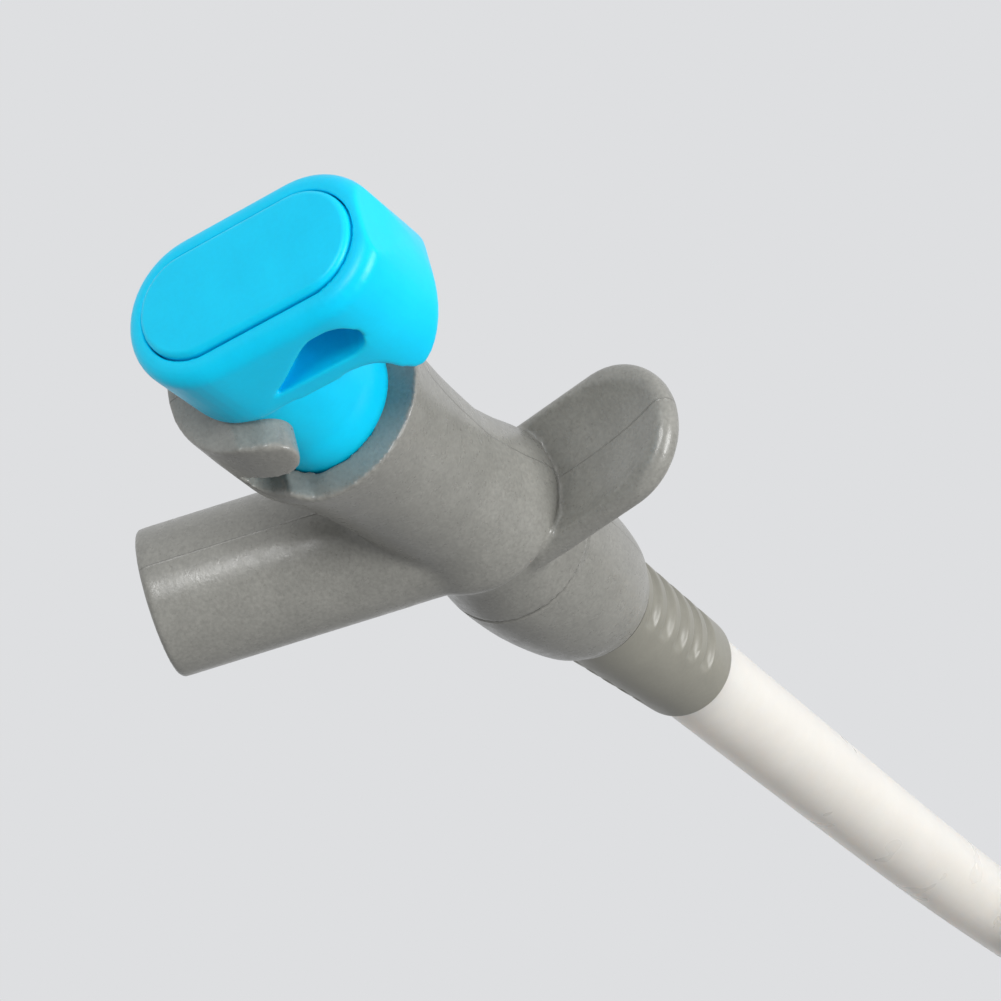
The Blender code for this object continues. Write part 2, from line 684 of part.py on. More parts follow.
def thumb_button(parent, finish):
    """The blue button: head with a finger hole, post, ball and the skirt that slides in the barrel."""
    outline = stadium(HEAD_HALF_WIDTH, HEAD_SPOUT_END, HEAD_PADDLE_END)
    block = prism(outline, LOBE_BOTTOM - 1 * MM, HEAD_TOP, axis="X")
    rim = [e for e in block.edges if all(v.co.x > HEAD_TOP - 0.01 * MM for v in e.verts)]
    soften(block, HEAD_EDGE, segments=3, chosen=rim)
    head = keep("thumb_button", block, parent, finish)
    wide = HEAD_HALF_WIDTH + OVERCUT
    side = keep("side", prism(button_profile(), -wide, wide), parent)
    combine(head, [side], "INTERSECT")
    combine(head, [keep("hole", prism(hole_profile(), -wide, wide), parent)], "DIFFERENCE")

    sliding_r = BORE_R - SLIDE_GAP
    ball = arc((BALL_CENTRE, 0), sliding_r, 90, 0, 8)[:-1]
    stump = turned([(-PISTON_DEPTH, 0), (-PISTON_DEPTH, sliding_r), *ball, (BALL_CENTRE + sliding_r, 0)])
    post = turned([(BALL_CENTRE, 0), (BALL_CENTRE, POST_R), (HOLE_TOP, POST_R - 0.3 * MM), (HOLE_TOP, 0)])
    combine(head, [keep("stump", stump, parent), keep("post", post, parent)], "UNION")

    socket_top = -PISTON_DEPTH + STEM_SOCKET_DEPTH
    socket = turned(
        [
            (-PISTON_DEPTH - OVERCUT, 0),
            (-PISTON_DEPTH - OVERCUT, STEM_R + GAP),
            (socket_top, STEM_R + GAP),
            (socket_top, 0),
        ],
        steps=SMALL_STEPS,
    )
    recess = prism(
        stadium(
            PAD_HALF_WIDTH + PAD_GAP,
            pad_spout_end() + PAD_GAP,
            PAD_LENGTH - pad_spout_end() + PAD_GAP,
        ),
        HEAD_TOP - PAD_DEPTH,
        HEAD_TOP + OVERCUT,
        axis="X",
    )
    return combine(head, [keep("socket", socket, parent), keep("recess", recess, parent)], "DIFFERENCE")


def pad_spout_end():
    """Where the pad ends on the spout's side: it is centred on the head."""
    return (HEAD_SPOUT_END - HEAD_PADDLE_END + PAD_LENGTH) / 2


def button_pad(parent, finish):
    """The raised pad in the top of the head."""
    outline = stadium(PAD_HALF_WIDTH, pad_spout_end(), PAD_LENGTH - pad_spout_end())
    bm = prism(outline, HEAD_TOP - PAD_DEPTH + GAP, HEAD_TOP + PAD_RISE, axis="X")
    top = HEAD_TOP + PAD_RISE - 0.01 * MM
    soften(bm, PAD_EDGE, chosen=[e for e in bm.edges if all(v.co.x > top for v in e.verts)])
    return keep("button_pad", bm, parent, finish)


def piston(parent, finish):
    """The ring below the button that carries the sealing ring."""
    r = BORE_R - SLIDE_GAP
    middle = (PISTON_TOP + PISTON_UNDER) / 2
    groove_r = BORE_R - 0.1 * MM - 2 * RING_R - 0.15 * MM
    profile = [
        (PISTON_TOP, STEM_R + GAP),
        (PISTON_TOP, r),
        (middle + PISTON_GROOVE / 2, r),
        (middle + PISTON_GROOVE / 2, groove_r),
        (middle - PISTON_GROOVE / 2, groove_r),
        (middle - PISTON_GROOVE / 2, r),
        (PISTON_UNDER, r),
        (PISTON_UNDER, STEM_R + GAP),
    ]
    return keep("piston", turned(profile, closed=True), parent, finish)


def piston_ring(parent, finish):
    """The round sealing ring in the piston's groove."""
    section = round_section((PISTON_TOP + PISTON_UNDER) / 2, BORE_R - 0.1 * MM - RING_R, RING_R)
    return keep("piston_ring", turned(section, closed=True, steps=ROUND_STEPS), parent, finish)


def plunger_stem(parent, finish):
    """The rod from inside the button down to the poppet's nut."""
    top = -PISTON_DEPTH + STEM_SOCKET_DEPTH - GAP
    low = NUT_UNDER - 0.6 * MM
    chamfer = 0.3 * MM
    profile = [
        (low, 0),
        (low, STEM_R - chamfer),
        (low + chamfer, STEM_R),
        (top - chamfer, STEM_R),
        (top, STEM_R - chamfer),
        (top, 0),
    ]
    return keep("plunger_stem", turned(profile, steps=SMALL_STEPS), parent, finish)


def stem_disc(name, high, low, radius, parent, finish, edge=0.0):
    """A disc on the stem, such as the poppet or its washer."""
    profile = [
        (high, STEM_R + GAP),
        (high, radius - edge),
        (high - edge, radius),
        (low + edge, radius),
        (low, radius - edge),
        (low, STEM_R + GAP),
    ]
    if not edge:
        profile = ring_profile(high, low, STEM_R + GAP, radius)
    return keep(name, turned(profile, closed=True, steps=FINE_STEPS), parent, finish)


def poppet_nut(parent, finish):
    """A hexagonal nut that holds the poppet on the stem."""
    corners = [(NUT_R * cos(pi * i / 3), NUT_R * sin(pi * i / 3)) for i in range(6)]
    nut = keep("poppet_nut", prism(corners, NUT_UNDER, NUT_TOP, axis="X"), parent, finish)
    low, high, hole_r = NUT_UNDER - OVERCUT, NUT_TOP + OVERCUT, STEM_R + NUT_GAP
    hole = turned([(low, 0), (low, hole_r), (high, hole_r), (high, 0)], steps=SMALL_STEPS)
    return combine(nut, [keep("nut_hole", hole, parent)], "DIFFERENCE")


def coil_point(turns):
    """A point of the coiled hose's centre line: one hose diameter higher with each turn."""
    angle = COIL_START + 2 * pi * turns
    return Vector(
        (
            COIL_CENTRE[0] + COIL_R * cos(angle),
            COIL_CENTRE[1] + COIL_R * sin(angle),
            HOSE_R + 2 * HOSE_R * turns,
        )
    )


def plug_place():
    """Where the plug starts, at the coiled hose's end, and which way it points."""
    angle = COIL_START + 2 * pi * COIL_TURNS
    start = coil_point(COIL_TURNS)
    start.z = coil_point(COIL_TURNS - 0.75).z + HOSE_R + PLUG_FLANGE_R + GAP
    return start, Vector((-sin(angle), cos(angle), 0))


def hose_coil(finish):
    """The outer shape of the coiled hose: a turned ring, lower where the plug lies on it."""
    height = coil_point(COIL_TURNS).z + HOSE_R
    inner, outer = COIL_R - HOSE_R, COIL_R + HOSE_R
    r = COIL_ROUND
    section = (
        arc((r, outer - r), r, 90, 180, 3)
        + arc((r, inner + r), r, 180, 270, 3)
        + arc((height - r, inner + r), r, 270, 360, 3)
        + arc((height - r, outer - r), r, 0, 90, 3)
    )
    ring = turned(section, closed=True, steps=48)
    ring.transform(Matrix.Translation((*COIL_CENTRE, 0)) @ Matrix.Rotation(-pi / 2, 4, "Y"))
    coil = keep("hose_coil", ring, None, finish)

    place, direction = plug_place()
    side = Vector((-direction.y, direction.x, 0))
    floor = place.z - PLUG_FLANGE_R - GAP
    start = place - direction * GAP
    reach, wide = PLUG_LENGTH + 2 * PLUG_FLANGE_R, 4 * PLUG_FLANGE_R
    corners = [start - side * wide, start + side * wide]
    corners += [start + side * wide + direction * reach, start - side * wide + direction * reach]
    pocket = keep("pocket", prism([(c.x, c.y) for c in corners], floor, height + OVERCUT), None)

    before, end = smooth_points(hose_line(), HOSE_STEP)[-2:]
    channel_r = HOSE_R + GAP
    low = -2 * HOSE_STEP
    bore = turned([(low, 0), (low, channel_r), (GAP, channel_r), (GAP, 0)], steps=FINE_STEPS)
    bore.transform(along((end - before).normalized(), end))
    channel = keep("channel", bore, None)
    return combine(coil, [pocket, channel], "DIFFERENCE")


def hose_line():
    """The chosen points of the hose in metres."""
    return [tuple(c * MM for c in point) for point in HOSE_ROUTE]


def connector_plug(parent, finish):
    """The plug for the bladder's port: flange, body, ring groove and nose, bored through."""
    flange = PLUG_TAIL_LENGTH + PLUG_STEP
    body = flange + PLUG_FLANGE_LENGTH
    neck = PLUG_NECK_END - 3 * MM
    profile = [
        (0, PLUG_BORE_R),
        (0, PLUG_TAIL_R - PLUG_STEP),
        (PLUG_STEP, PLUG_TAIL_R),
        (PLUG_TAIL_LENGTH, PLUG_TAIL_R),
        (flange, PLUG_FLANGE_R),
        (body, PLUG_FLANGE_R),
        (body, PLUG_R),
        (neck, PLUG_R),
        (neck, PLUG_NECK_R),
        (PLUG_NECK_END, PLUG_NECK_R),
        (PLUG_NECK_END + 1 * MM, PLUG_NOSE_R + PLUG_STEP),
        (PLUG_GROOVE - PLUG_RING_R - 0.1 * MM, PLUG_NOSE_R + PLUG_STEP),
        (PLUG_GROOVE - PLUG_RING_R - 0.1 * MM, PLUG_GROOVE_R),
        (PLUG_GROOVE + PLUG_RING_R + 0.1 * MM, PLUG_GROOVE_R),
        (PLUG_GROOVE + PLUG_RING_R + 0.1 * MM, PLUG_NOSE_R),
        (PLUG_LENGTH - 2 * PLUG_STEP, PLUG_NOSE_R),
        (PLUG_LENGTH, PLUG_NOSE_R - 2 * PLUG_STEP),
        (PLUG_LENGTH, PLUG_BORE_R),
    ]
    return keep("connector_plug", turned(profile, closed=True, steps=FINE_STEPS), parent, finish)


def plug_ring(parent, finish):
    """The sealing ring in the plug's groove."""
    section = round_section(PLUG_GROOVE, PLUG_GROOVE_R + 0.15 * MM + PLUG_RING_R, PLUG_RING_R)
    return keep("plug_ring", turned(section, closed=True, steps=FINE_STEPS), parent, finish)


def main():
    for old in list(bpy.data.objects):
        bpy.data.objects.remove(old)

    grey = material("grey_moulded_body", "85857f", 0.45)
    sleeve_grey = material("grey_sleeve", "97968e", 0.5)
    blue = material("blue_soft_touch", "0cc8f2", 0.32)
    pale = material("natural_moulded_plastic", "dcdad2", 0.4)
    black = material("black_rubber", "1c1c1e", 0.6)
    steel = material("stainless_steel", "b9bcbf", 0.3, 1.0)
    hose_finish = material("milky_hose", "dedad4", 0.35)

    valve = empty("valve_frame", VALVE_FRAME)
    plunger = empty("plunger", (0, 0, 0), valve)

    valve_body(valve, grey)
    valve_seat(valve, pale)
    seat_gasket(valve, black)
    inlet_cap(valve, grey)
    spring_seat(valve, pale)
    return_spring(valve, steel)
    hose_sleeve(valve, sleeve_grey)
    hose_inlet_end(valve, hose_finish)

    thumb_button(plunger, blue)
    button_pad(plunger, blue)
    piston(plunger, pale)
    piston_ring(plunger, black)
    plunger_stem(plunger, steel)
    stem_disc("poppet_washer", WASHER_TOP, WASHER_UNDER, WASHER_R, plunger, black)
    stem_disc("poppet", POPPET_TOP, POPPET_UNDER, POPPET_R, plunger, pale, edge=0.3 * MM)
    poppet_nut(plunger, steel)

    tube("hose", smooth_points(hose_line(), HOSE_STEP), HOSE_R, None, hose_finish, 3)
    hose_coil(hose_finish)
    place, direction = plug_place()
    plug = empty("plug_frame", place + direction * GAP)
    plug.rotation_euler = (0, 0, atan2(direction.y, direction.x))
    connector_plug(plug, grey)
    plug_ring(plug, black)


main()
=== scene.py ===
"""Looks of a push-button drink valve on its hose, built as a small Blender add-on.

Lengths are metres. The valve lies on its side: +X runs along its barrel towards the thumb button, +Y points to
the spout's side and +Z is up. Pieces are shaped in the valve's own frame, whose origin is on the barrel's axis
in the plane of its low rim, and are then put in their place, so every object stays at the world's origin.
"""

from math import atan2, cos, hypot, pi, radians, sin, sqrt

import bmesh
import bpy
from mathutils import Matrix, Vector


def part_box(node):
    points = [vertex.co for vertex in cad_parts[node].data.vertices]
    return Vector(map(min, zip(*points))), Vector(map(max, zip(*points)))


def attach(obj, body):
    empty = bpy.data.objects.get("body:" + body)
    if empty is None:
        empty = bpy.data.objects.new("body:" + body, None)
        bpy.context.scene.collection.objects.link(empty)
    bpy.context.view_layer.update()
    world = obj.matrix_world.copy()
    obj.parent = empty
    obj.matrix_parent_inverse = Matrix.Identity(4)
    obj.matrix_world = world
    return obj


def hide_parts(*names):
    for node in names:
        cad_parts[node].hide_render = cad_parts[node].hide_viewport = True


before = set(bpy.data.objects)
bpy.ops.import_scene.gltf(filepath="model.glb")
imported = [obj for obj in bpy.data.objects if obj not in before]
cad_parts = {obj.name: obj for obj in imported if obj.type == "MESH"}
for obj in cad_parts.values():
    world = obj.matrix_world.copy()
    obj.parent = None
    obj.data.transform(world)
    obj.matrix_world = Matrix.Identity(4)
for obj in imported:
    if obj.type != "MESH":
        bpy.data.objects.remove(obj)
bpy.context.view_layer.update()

bl_info = {
    "name": "Drink valve",
    "version": (1, 0, 0),
    "blender": (4, 5, 0),
    "location": "View3D > Sidebar > Drink valve",
    "description": "A push-button drink valve with a side spout, a thumb button and its coiled hose",
    "category": "Mesh",
}

MM = 0.001

# Places read from the fixed frame
SLEEVE_LOW, SLEEVE_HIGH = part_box("hose_sleeve")
PAD_LOW, PAD_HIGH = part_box("button_pad")
CAP_LOW, CAP_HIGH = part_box("inlet_cap")
AXIS_Y = (CAP_LOW.y + CAP_HIGH.y) / 2
AXIS_Z = (CAP_LOW.z + CAP_HIGH.z) / 2
PAD_TOP = 19.4 * MM  # above the low rim
VALVE = Vector((PAD_HIGH.x - PAD_TOP, AXIS_Y, AXIS_Z))
SLEEVE_TOP = SLEEVE_HIGH.x - VALVE.x
SLEEVE_END = SLEEVE_LOW.x - VALVE.x

# The hose's chosen points in millimetres, from the sleeve to the coil
HOSE_ROUTE = (
    (-44.7, -3.78, 9.1),
    (-50.0, -3.62, 9.05),
    (-58.0, -3.33, 8.93),
    (-68.0, -2.98, 8.77),
    (-80.0, -2.56, 8.58),
    (-94.0, -2.07, 8.35),
    (-108.0, -1.58, 8.05),
    (-122.0, -1.09, 7.6),
    (-136.0, -0.6, 6.95),
    (-150.0, -0.11, 6.1),
    (-165.0, 0.4, 5.2),
    (-180.5, 0.97, 4.75),
)
COIL_CENTRE = Vector((-182.1 * MM, -45.0 * MM))
COIL_START = radians(88.0)
PLUG_LOW, PLUG_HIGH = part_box("connector_plug")
PLUG_HEIGHT = (PLUG_LOW.z + PLUG_HIGH.z) / 2
RISE_TURNS = 0.4  # the last part of the coil, which rises to the plug


# ---------------------------------------------------------------- small helpers


def length(name, default, description):
    """A size in metres that a user may change."""
    return bpy.props.FloatProperty(
        name=name, description=description, default=default, min=0.0, precision=5, unit="LENGTH"
    )


def angle(name, default, description):
    """An angle that a user may change."""
    return bpy.props.FloatProperty(name=name, description=description, default=default, subtype="ANGLE")


def srgb(colour):
    """Linear RGB of an sRGB hex colour."""
    channels = [int(colour[i : i + 2], 16) / 255 for i in (0, 2, 4)]
    return [c / 12.92 if c <= 0.04045 else ((c + 0.055) / 1.055) ** 2.4 for c in channels]


def tint(name, default, description):
    """A colour that a user may change, given as sRGB hex."""
    return bpy.props.FloatVectorProperty(
        name=name, description=description, default=srgb(default), size=3, min=0, max=1, subtype="COLOR"
    )


def add_node(tree, kind, inputs=(), **settings):
    """A node of a kind, with its settings and with its sockets set to values or linked to sockets."""
    node = tree.nodes.new(kind)
    for name, value in settings.items():
        setattr(node, name, value)
    for name, value in dict(inputs).items():
        if isinstance(value, bpy.types.NodeSocket):
            tree.links.new(value, node.inputs[name])
        else:
            node.inputs[name].default_value = value
    return node


def keep(name, bm, material=None):
    """Turn a bmesh into a named object, shaded smooth."""
    bmesh.ops.remove_doubles(bm, verts=bm.verts[:], dist=1e-6)
    bmesh.ops.recalc_face_normals(bm, faces=bm.faces[:])
    if bm.calc_volume(signed=True) < 0:
        bmesh.ops.reverse_faces(bm, faces=bm.faces[:])
    mesh = bpy.data.meshes.new(name)
    bm.to_mesh(mesh)
    bm.free()
    mesh.shade_smooth()
    piece = bpy.data.objects.new(name, mesh)
    bpy.context.scene.collection.objects.link(piece)
    if material:
        mesh.materials.append(material)
    return piece


def spun(profile, closed=False, steps=96):
    """A bmesh turned about the X axis from (x, radius) points; a closed profile makes a ring."""
    bm = bmesh.new()
    verts = [bm.verts.new((x, r, 0)) for x, r in profile]
    edges = [bm.edges.new(pair) for pair in zip(verts, verts[1:])]
    if closed:
        edges.append(bm.edges.new((verts[-1], verts[0])))
    bmesh.ops.spin(
        bm, geom=verts + edges, cent=(0, 0, 0), axis=(1, 0, 0), angle=2 * pi, steps=steps, use_merge=True
    )
    bmesh.ops.remove_doubles(bm, verts=bm.verts[:], dist=1e-7)
    return bm


def arc(centre, radius, start, end, steps):
    """Points of an arc, angles in degrees from the first axis to the second."""
    turns = [radians(start + (end - start) * i / steps) for i in range(steps + 1)]
    return [(centre[0] + radius * cos(t), centre[1] + radius * sin(t)) for t in turns]


def prism(outline, low, high, axis="Z"):
    """A bmesh of an outline pushed from low to high along Z, or along X with its points as (y, z)."""
    bm = bmesh.new()
    along_z = axis == "Z"
    verts = [bm.verts.new((a, b, low) if along_z else (low, a, b)) for a, b in outline]
    face = bm.faces.new(verts)
    pushed = bmesh.ops.extrude_face_region(bm, geom=[face])
    moved = [v for v in pushed["geom"] if isinstance(v, bmesh.types.BMVert)]
    step = (0, 0, high - low) if along_z else (high - low, 0, 0)
    bmesh.ops.translate(bm, verts=moved, vec=step)
    return bm


def bevelled(bm, edges, width, segments):
    """Round the given edges of a bmesh."""
    bmesh.ops.bevel(
        bm,
        geom=edges,
        offset=width,
        offset_type="OFFSET",
        segments=segments,
        profile=0.5,
        affect="EDGES",
        clamp_overlap=True,
        material=-1,
    )


def smooth_line(points, parts=8):
    """The points of a smooth curve through the given ones, with a number of parts between two of them."""
    knots = [Vector(p) for p in points]
    knots = [2 * knots[0] - knots[1], *knots, 2 * knots[-1] - knots[-2]]
    line = [knots[1]]
    for a, b, c, d in zip(knots, knots[1:], knots[2:], knots[3:]):
        for i in range(1, parts + 1):
            t = i / parts
            bend = (2 * a - 5 * b + 4 * c - d) * t**2 + (3 * b - a - 3 * c + d) * t**3
            line.append(0.5 * (2 * b + (c - a) * t + bend))
    return line


def stadium(half_width, end_a, end_b, steps=24):
    """A long round-ended outline in (y, z), from y = end_a down to y = -end_b."""
    near = arc((end_a - half_width, 0), half_width, -90, 90, steps)
    return near + arc((half_width - end_b, 0), half_width, 90, 270, steps)


def settled(piece):
    """Apply a piece's modifiers."""
    graph = bpy.context.evaluated_depsgraph_get()
    made = bpy.data.meshes.new_from_object(piece.evaluated_get(graph))
    piece.modifiers.clear()
    piece.data = made
    return piece


def combine(base, tools, operation):
    """Apply a Boolean of each tool to the base, and drop the tools."""
    for tool in tools:
        step = base.modifiers.new(tool.name, "BOOLEAN")
        step.operation = operation
        step.solver = "EXACT"
        step.object = tool
    settled(base)
    for tool in tools:
        bpy.data.objects.remove(tool)
    return base


def moulded(piece, voxel, passes, fillets=(), fillet_passes=0):
    """Give a piece one even skin, take its edges off as a mould does, and fill its inner corners.

    Each fillet is a function that says, for a point, whether it lies in a corner to be filled.
    """
    skin = piece.modifiers.new("skin", "REMESH")
    skin.mode = "VOXEL"
    skin.voxel_size = voxel
    settled(piece)
    if fillets:
        chosen = [v.index for v in piece.data.vertices if any(inside(v.co) for inside in fillets)]
        piece.vertex_groups.new(name="corners").add(chosen, 1.0, "REPLACE")
        filling = piece.modifiers.new("filling", "SMOOTH")
        filling.factor = 0.5
        filling.iterations = fillet_passes
        filling.vertex_group = "corners"
    edges = piece.modifiers.new("edges", "SMOOTH")
    edges.factor = 0.5
    edges.iterations = passes
    settled(piece)
    piece.vertex_groups.clear()
    piece.data.shade_smooth()
    return piece


def along(direction, place):
    """The matrix that lays the X axis along a level direction, with Z kept."""
    side = Vector((0, 0, 1)).cross(direction)
    turn = Matrix((direction, side, Vector((0, 0, 1)))).transposed().to_4x4()
    return Matrix.Translation(place) @ turn


def placed(piece, body, slot, *nodes):
    """Move a piece's mesh from the valve's frame to its place, and let it ride and stand for its nodes."""
    piece.data.transform(Matrix.Translation(VALVE))
    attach(piece, body)
    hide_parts(*nodes)
    return piece


# ---------------------------------------------------------------- sizes and colours


class BodySizes(bpy.types.PropertyGroup):
    """Sizes of the moulded body."""

    barrel_length: length("Barrel length", 33.3 * MM, "From the low rim to the seam")
    rim_radius: length("Rim radius", 9.1 * MM, "Outside, at the low rim")
    waist_radius: length("Waist radius", 7.05 * MM, "Outside, where the barrel is thinnest")
    seam_radius: length("Seam radius", 7.75 * MM, "Outside, where the inlet cap starts")
    bore_radius: length("Bore radius", 6.6 * MM, "What the button slides in")
    collar_height: length("Collar height", 10.2 * MM, "Of the wave crests above the low rim")
    collar_end_height: length("Collar end height", 8.9 * MM, "Of the collar on the spout's side")
    spout_radius: length("Spout radius", 6.8 * MM, "Outside")
    spout_bore: length("Spout bore radius", 5.2 * MM, "Inside")
    spout_length: length("Spout length", 28.45 * MM, "From the barrel's axis to the end face")
    spout_depth: length("Spout depth", 24.9 * MM, "Where its axis meets the barrel's, below the low rim")
    spout_sweep: angle("Spout sweep", radians(17.9), "Towards the button")
    paddle_length: length("Paddle length", 21.55 * MM, "From the barrel's axis to the tip")
    paddle_half_width: length("Paddle half width", 6.65 * MM, "Half of the paddle's width")
    paddle_thickness: length("Paddle thickness", 2.7 * MM, "At its raised edge")
    paddle_depth: length("Paddle depth", 29.0 * MM, "Where its middle plane meets the barrel's axis")
    paddle_sweep: angle("Paddle sweep", radians(13.0), "Towards the button")
    paddle_dish: length("Paddle dish", 1.5 * MM, "Depth of the hollow for the finger")
    shoulder_radius: length("Shoulder radius", 8.1 * MM, "Of the flare in front of the paddle")
    shoulder_depth: length("Shoulder depth", 27.0 * MM, "Of the flare's lower edge")
    skin: length("Skin size", 0.25 * MM, "Size of the faces of the moulded surface")


class ButtonSizes(bpy.types.PropertyGroup):
    """Sizes of the thumb button and its pad."""

    head_top: length("Head top", 18.9 * MM, "Height above the low rim")
    half_width: length("Head half width", 6.55 * MM, "Half of the head's width")
    spout_end: length("Spout end", 6.25 * MM, "Reach of the head on the spout's side")
    paddle_end: length("Paddle end", 16.45 * MM, "Reach of the head on the paddle's side")
    edge: length("Edge radius", 1.5 * MM, "Rounding round the head's top")
    bar_under: length("Bar underside", 10.3 * MM, "Height of the bar below the finger hole")
    bar_top: length("Bar top", 12.1 * MM, "Height of the finger hole's floor")
    lobe_bottom: length("Lobe bottom", 6.0 * MM, "Height of the lobe's lowest point")
    hole_top: length("Hole top", 16.4 * MM, "Height of the finger hole's roof")
    hole_far_end: length("Hole far end", 10.9 * MM, "Reach of the finger hole towards the paddle")
    post_radius: length("Post radius", 6.1 * MM, "Of the post under the head")
    ball_radius: length("Ball radius", 6.45 * MM, "Of the ball that shows in the barrel's mouth")
    ball_centre: length("Ball centre", 1.4 * MM, "Height of the ball's middle")
    skirt_depth: length("Skirt depth", 5.0 * MM, "How far the button goes into the barrel")
    pad_length: length("Pad length", 18.9 * MM, "Length of the raised pad")
    pad_half_width: length("Pad half width", 4.55 * MM, "Half of the pad's width")
    pad_rise: length("Pad rise", 0.5 * MM, "Height of the pad above the head")
    pad_seat: length("Pad seat depth", 1.6 * MM, "Depth of the pocket that the pad lies in")
    skin: length("Skin size", 0.17 * MM, "Size of the faces of the moulded surface")


class InletSizes(bpy.types.PropertyGroup):
    """Sizes of the inlet cap, the hose sleeve and the hose."""

    cap_length: length("Cap length", 15.7 * MM, "From the seam to the end of the dome")
    cap_shoulder: length("Cap shoulder", 6.0 * MM, "Length of the cap's straight part")
    cap_end_radius: length("Cap end radius", 6.05 * MM, "At the end of the dome")
    sleeve_radius: length("Sleeve radius", 5.9 * MM, "At the cap")
    sleeve_end_radius: length("Sleeve end radius", 5.3 * MM, "At the hose")
    rib_depth: length("Rib depth", 0.55 * MM, "Depth of the notches between the ribs")
    ribs: bpy.props.IntProperty(name="Ribs", description="Ribs on each side of the sleeve", default=5, min=1)
    hose_radius: length("Hose radius", 4.75 * MM, "Outside")
    coil_radius: length("Coil radius", 46.0 * MM, "To the middle of the hose")
    coil_turns: bpy.props.FloatProperty(
        name="Coil turns", description="Turns of the put-away hose", default=2.55, min=0.5
    )
    plug_radius: length("Plug radius", 6.6 * MM, "Of the plug's flange")
    plug_length: length("Plug length", 27.0 * MM, "Of the quick-connect plug")


class Finishes(bpy.types.PropertyGroup):
    """Colours of the materials."""

    grey: tint("Body grey", "8b8a84", "The moulded body and the inlet cap")
    sleeve_grey: tint("Sleeve grey", "8b897f", "The softer hose sleeve")
    blue: tint("Button blue", "00cff7", "The thumb button and its pad")
    milky: tint("Hose", "dedbd5", "The milky hose")
    natural: tint("Natural plastic", "e2e0d8", "Inner parts")
    rubber: tint("Rubber", "1c1c1e", "Sealing rings")
    steel: tint("Steel", "c4c6c8", "Stem, nut and spring")
    ground: tint("Ground", "dedfe1", "The floor and what lies beyond it")


# ---------------------------------------------------------------- materials


def principled(name, colour, roughness, **values):
    """A new material with a Principled shader, and its tree, shader and Object coordinates."""
    made = bpy.data.materials.new(name)
    made.use_nodes = True
    tree = made.node_tree
    shader = tree.nodes["Principled BSDF"]
    shader.inputs["Base Color"].default_value = (*colour, 1)
    shader.inputs["Roughness"].default_value = roughness
    for key, value in values.items():
        shader.inputs[key.replace("_", " ")].default_value = value
    place = add_node(tree, "ShaderNodeTexCoord").outputs["Object"]
    return made, tree, shader, place


def grain(tree, place, size, detail=2.0):
    """Noise with features of a real size in metres."""
    inputs = {"Vector": place, "Scale": 1 / size, "Detail": detail, "Roughness": 0.6}
    return add_node(tree, "ShaderNodeTexNoise", inputs).outputs["Fac"]


def spread(tree, value, low, high, start=0.3, stop=0.7):
    """A value spread from low to high between two levels of its source."""
    inputs = {"Value": value, "From Min": start, "From Max": stop, "To Min": low, "To Max": high}
    return add_node(tree, "ShaderNodeMapRange", inputs).outputs["Result"]


def shaded(tree, colour, *factors):
    """A colour made lighter or darker by each factor in turn."""
    mixed = (*colour, 1)
    for factor in factors:
        step = add_node(tree, "ShaderNodeVectorMath", {0: mixed if not isinstance(mixed, tuple) else mixed[:3]},
                        operation="SCALE")
        tree.links.new(factor, step.inputs["Scale"])
        mixed = step.outputs[0]
    return mixed


def mould_line(tree, place):
    """A ridge a tenth of a millimetre wide in the plane where the two halves of the mould met."""
    parts = add_node(tree, "ShaderNodeSeparateXYZ", {0: place})
    inputs = {0: parts.outputs["Z"], 1: VALVE.z}
    gap = add_node(tree, "ShaderNodeMath", inputs, operation="SUBTRACT")
    away = add_node(tree, "ShaderNodeMath", {0: gap.outputs[0]}, operation="ABSOLUTE")
    return spread(tree, away.outputs[0], 1.0, 0.0, 0.02 * MM, 0.11 * MM)


def grey_moulding(colour, name="satin_grey_moulded_plastic"):
    """Glass-filled nylon from a spark-eroded mould: a fine sandy grain, satin, with cloudy rubbed patches."""
    made, tree, shader, place = principled(name, colour, 0.3, IOR=1.6)
    fine = grain(tree, place, 0.32 * MM, 3.0)
    cloudy = grain(tree, place, 3.5 * MM, 3.0)
    scuffs = grain(tree, place, 0.9 * MM, 4.0)
    line = mould_line(tree, place)
    fleck = spread(tree, fine, 0.86, 1.14)
    cloud = spread(tree, cloudy, 0.92, 1.06)
    rub = spread(tree, scuffs, 1.0, 1.06, 0.55, 0.75)
    edge = spread(tree, line, 1.0, 0.86, 0.0, 1.0)
    tree.links.new(shaded(tree, colour, fleck, cloud, rub, edge), shader.inputs["Base Color"])
    tree.links.new(spread(tree, scuffs, 0.24, 0.38), shader.inputs["Roughness"])
    ridge = add_node(tree, "ShaderNodeBump", {"Strength": 0.8, "Distance": 0.05 * MM, "Height": line})
    sand = add_node(
        tree,
        "ShaderNodeBump",
        {"Strength": 0.35, "Distance": 0.05 * MM, "Height": fine, "Normal": ridge.outputs[0]},
    )
    tree.links.new(sand.outputs[0], shader.inputs["Normal"])
    return made


def sleeve_elastomer(colour):
    """Injected thermoplastic elastomer: smoother than the body, with a low soft sheen."""
    made, tree, shader, place = principled("satin_grey_elastomer", colour, 0.36, IOR=1.5)
    fine = grain(tree, place, 0.5 * MM, 2.0)
    cloudy = grain(tree, place, 4.0 * MM, 2.0)
    factors = spread(tree, fine, 0.97, 1.03), spread(tree, cloudy, 0.95, 1.05)
    tree.links.new(shaded(tree, colour, *factors), shader.inputs["Base Color"])
    tree.links.new(spread(tree, cloudy, 0.32, 0.42), shader.inputs["Roughness"])
    bump = add_node(tree, "ShaderNodeBump", {"Strength": 0.15, "Distance": 0.04 * MM, "Height": fine})
    tree.links.new(bump.outputs[0], shader.inputs["Normal"])
    return made


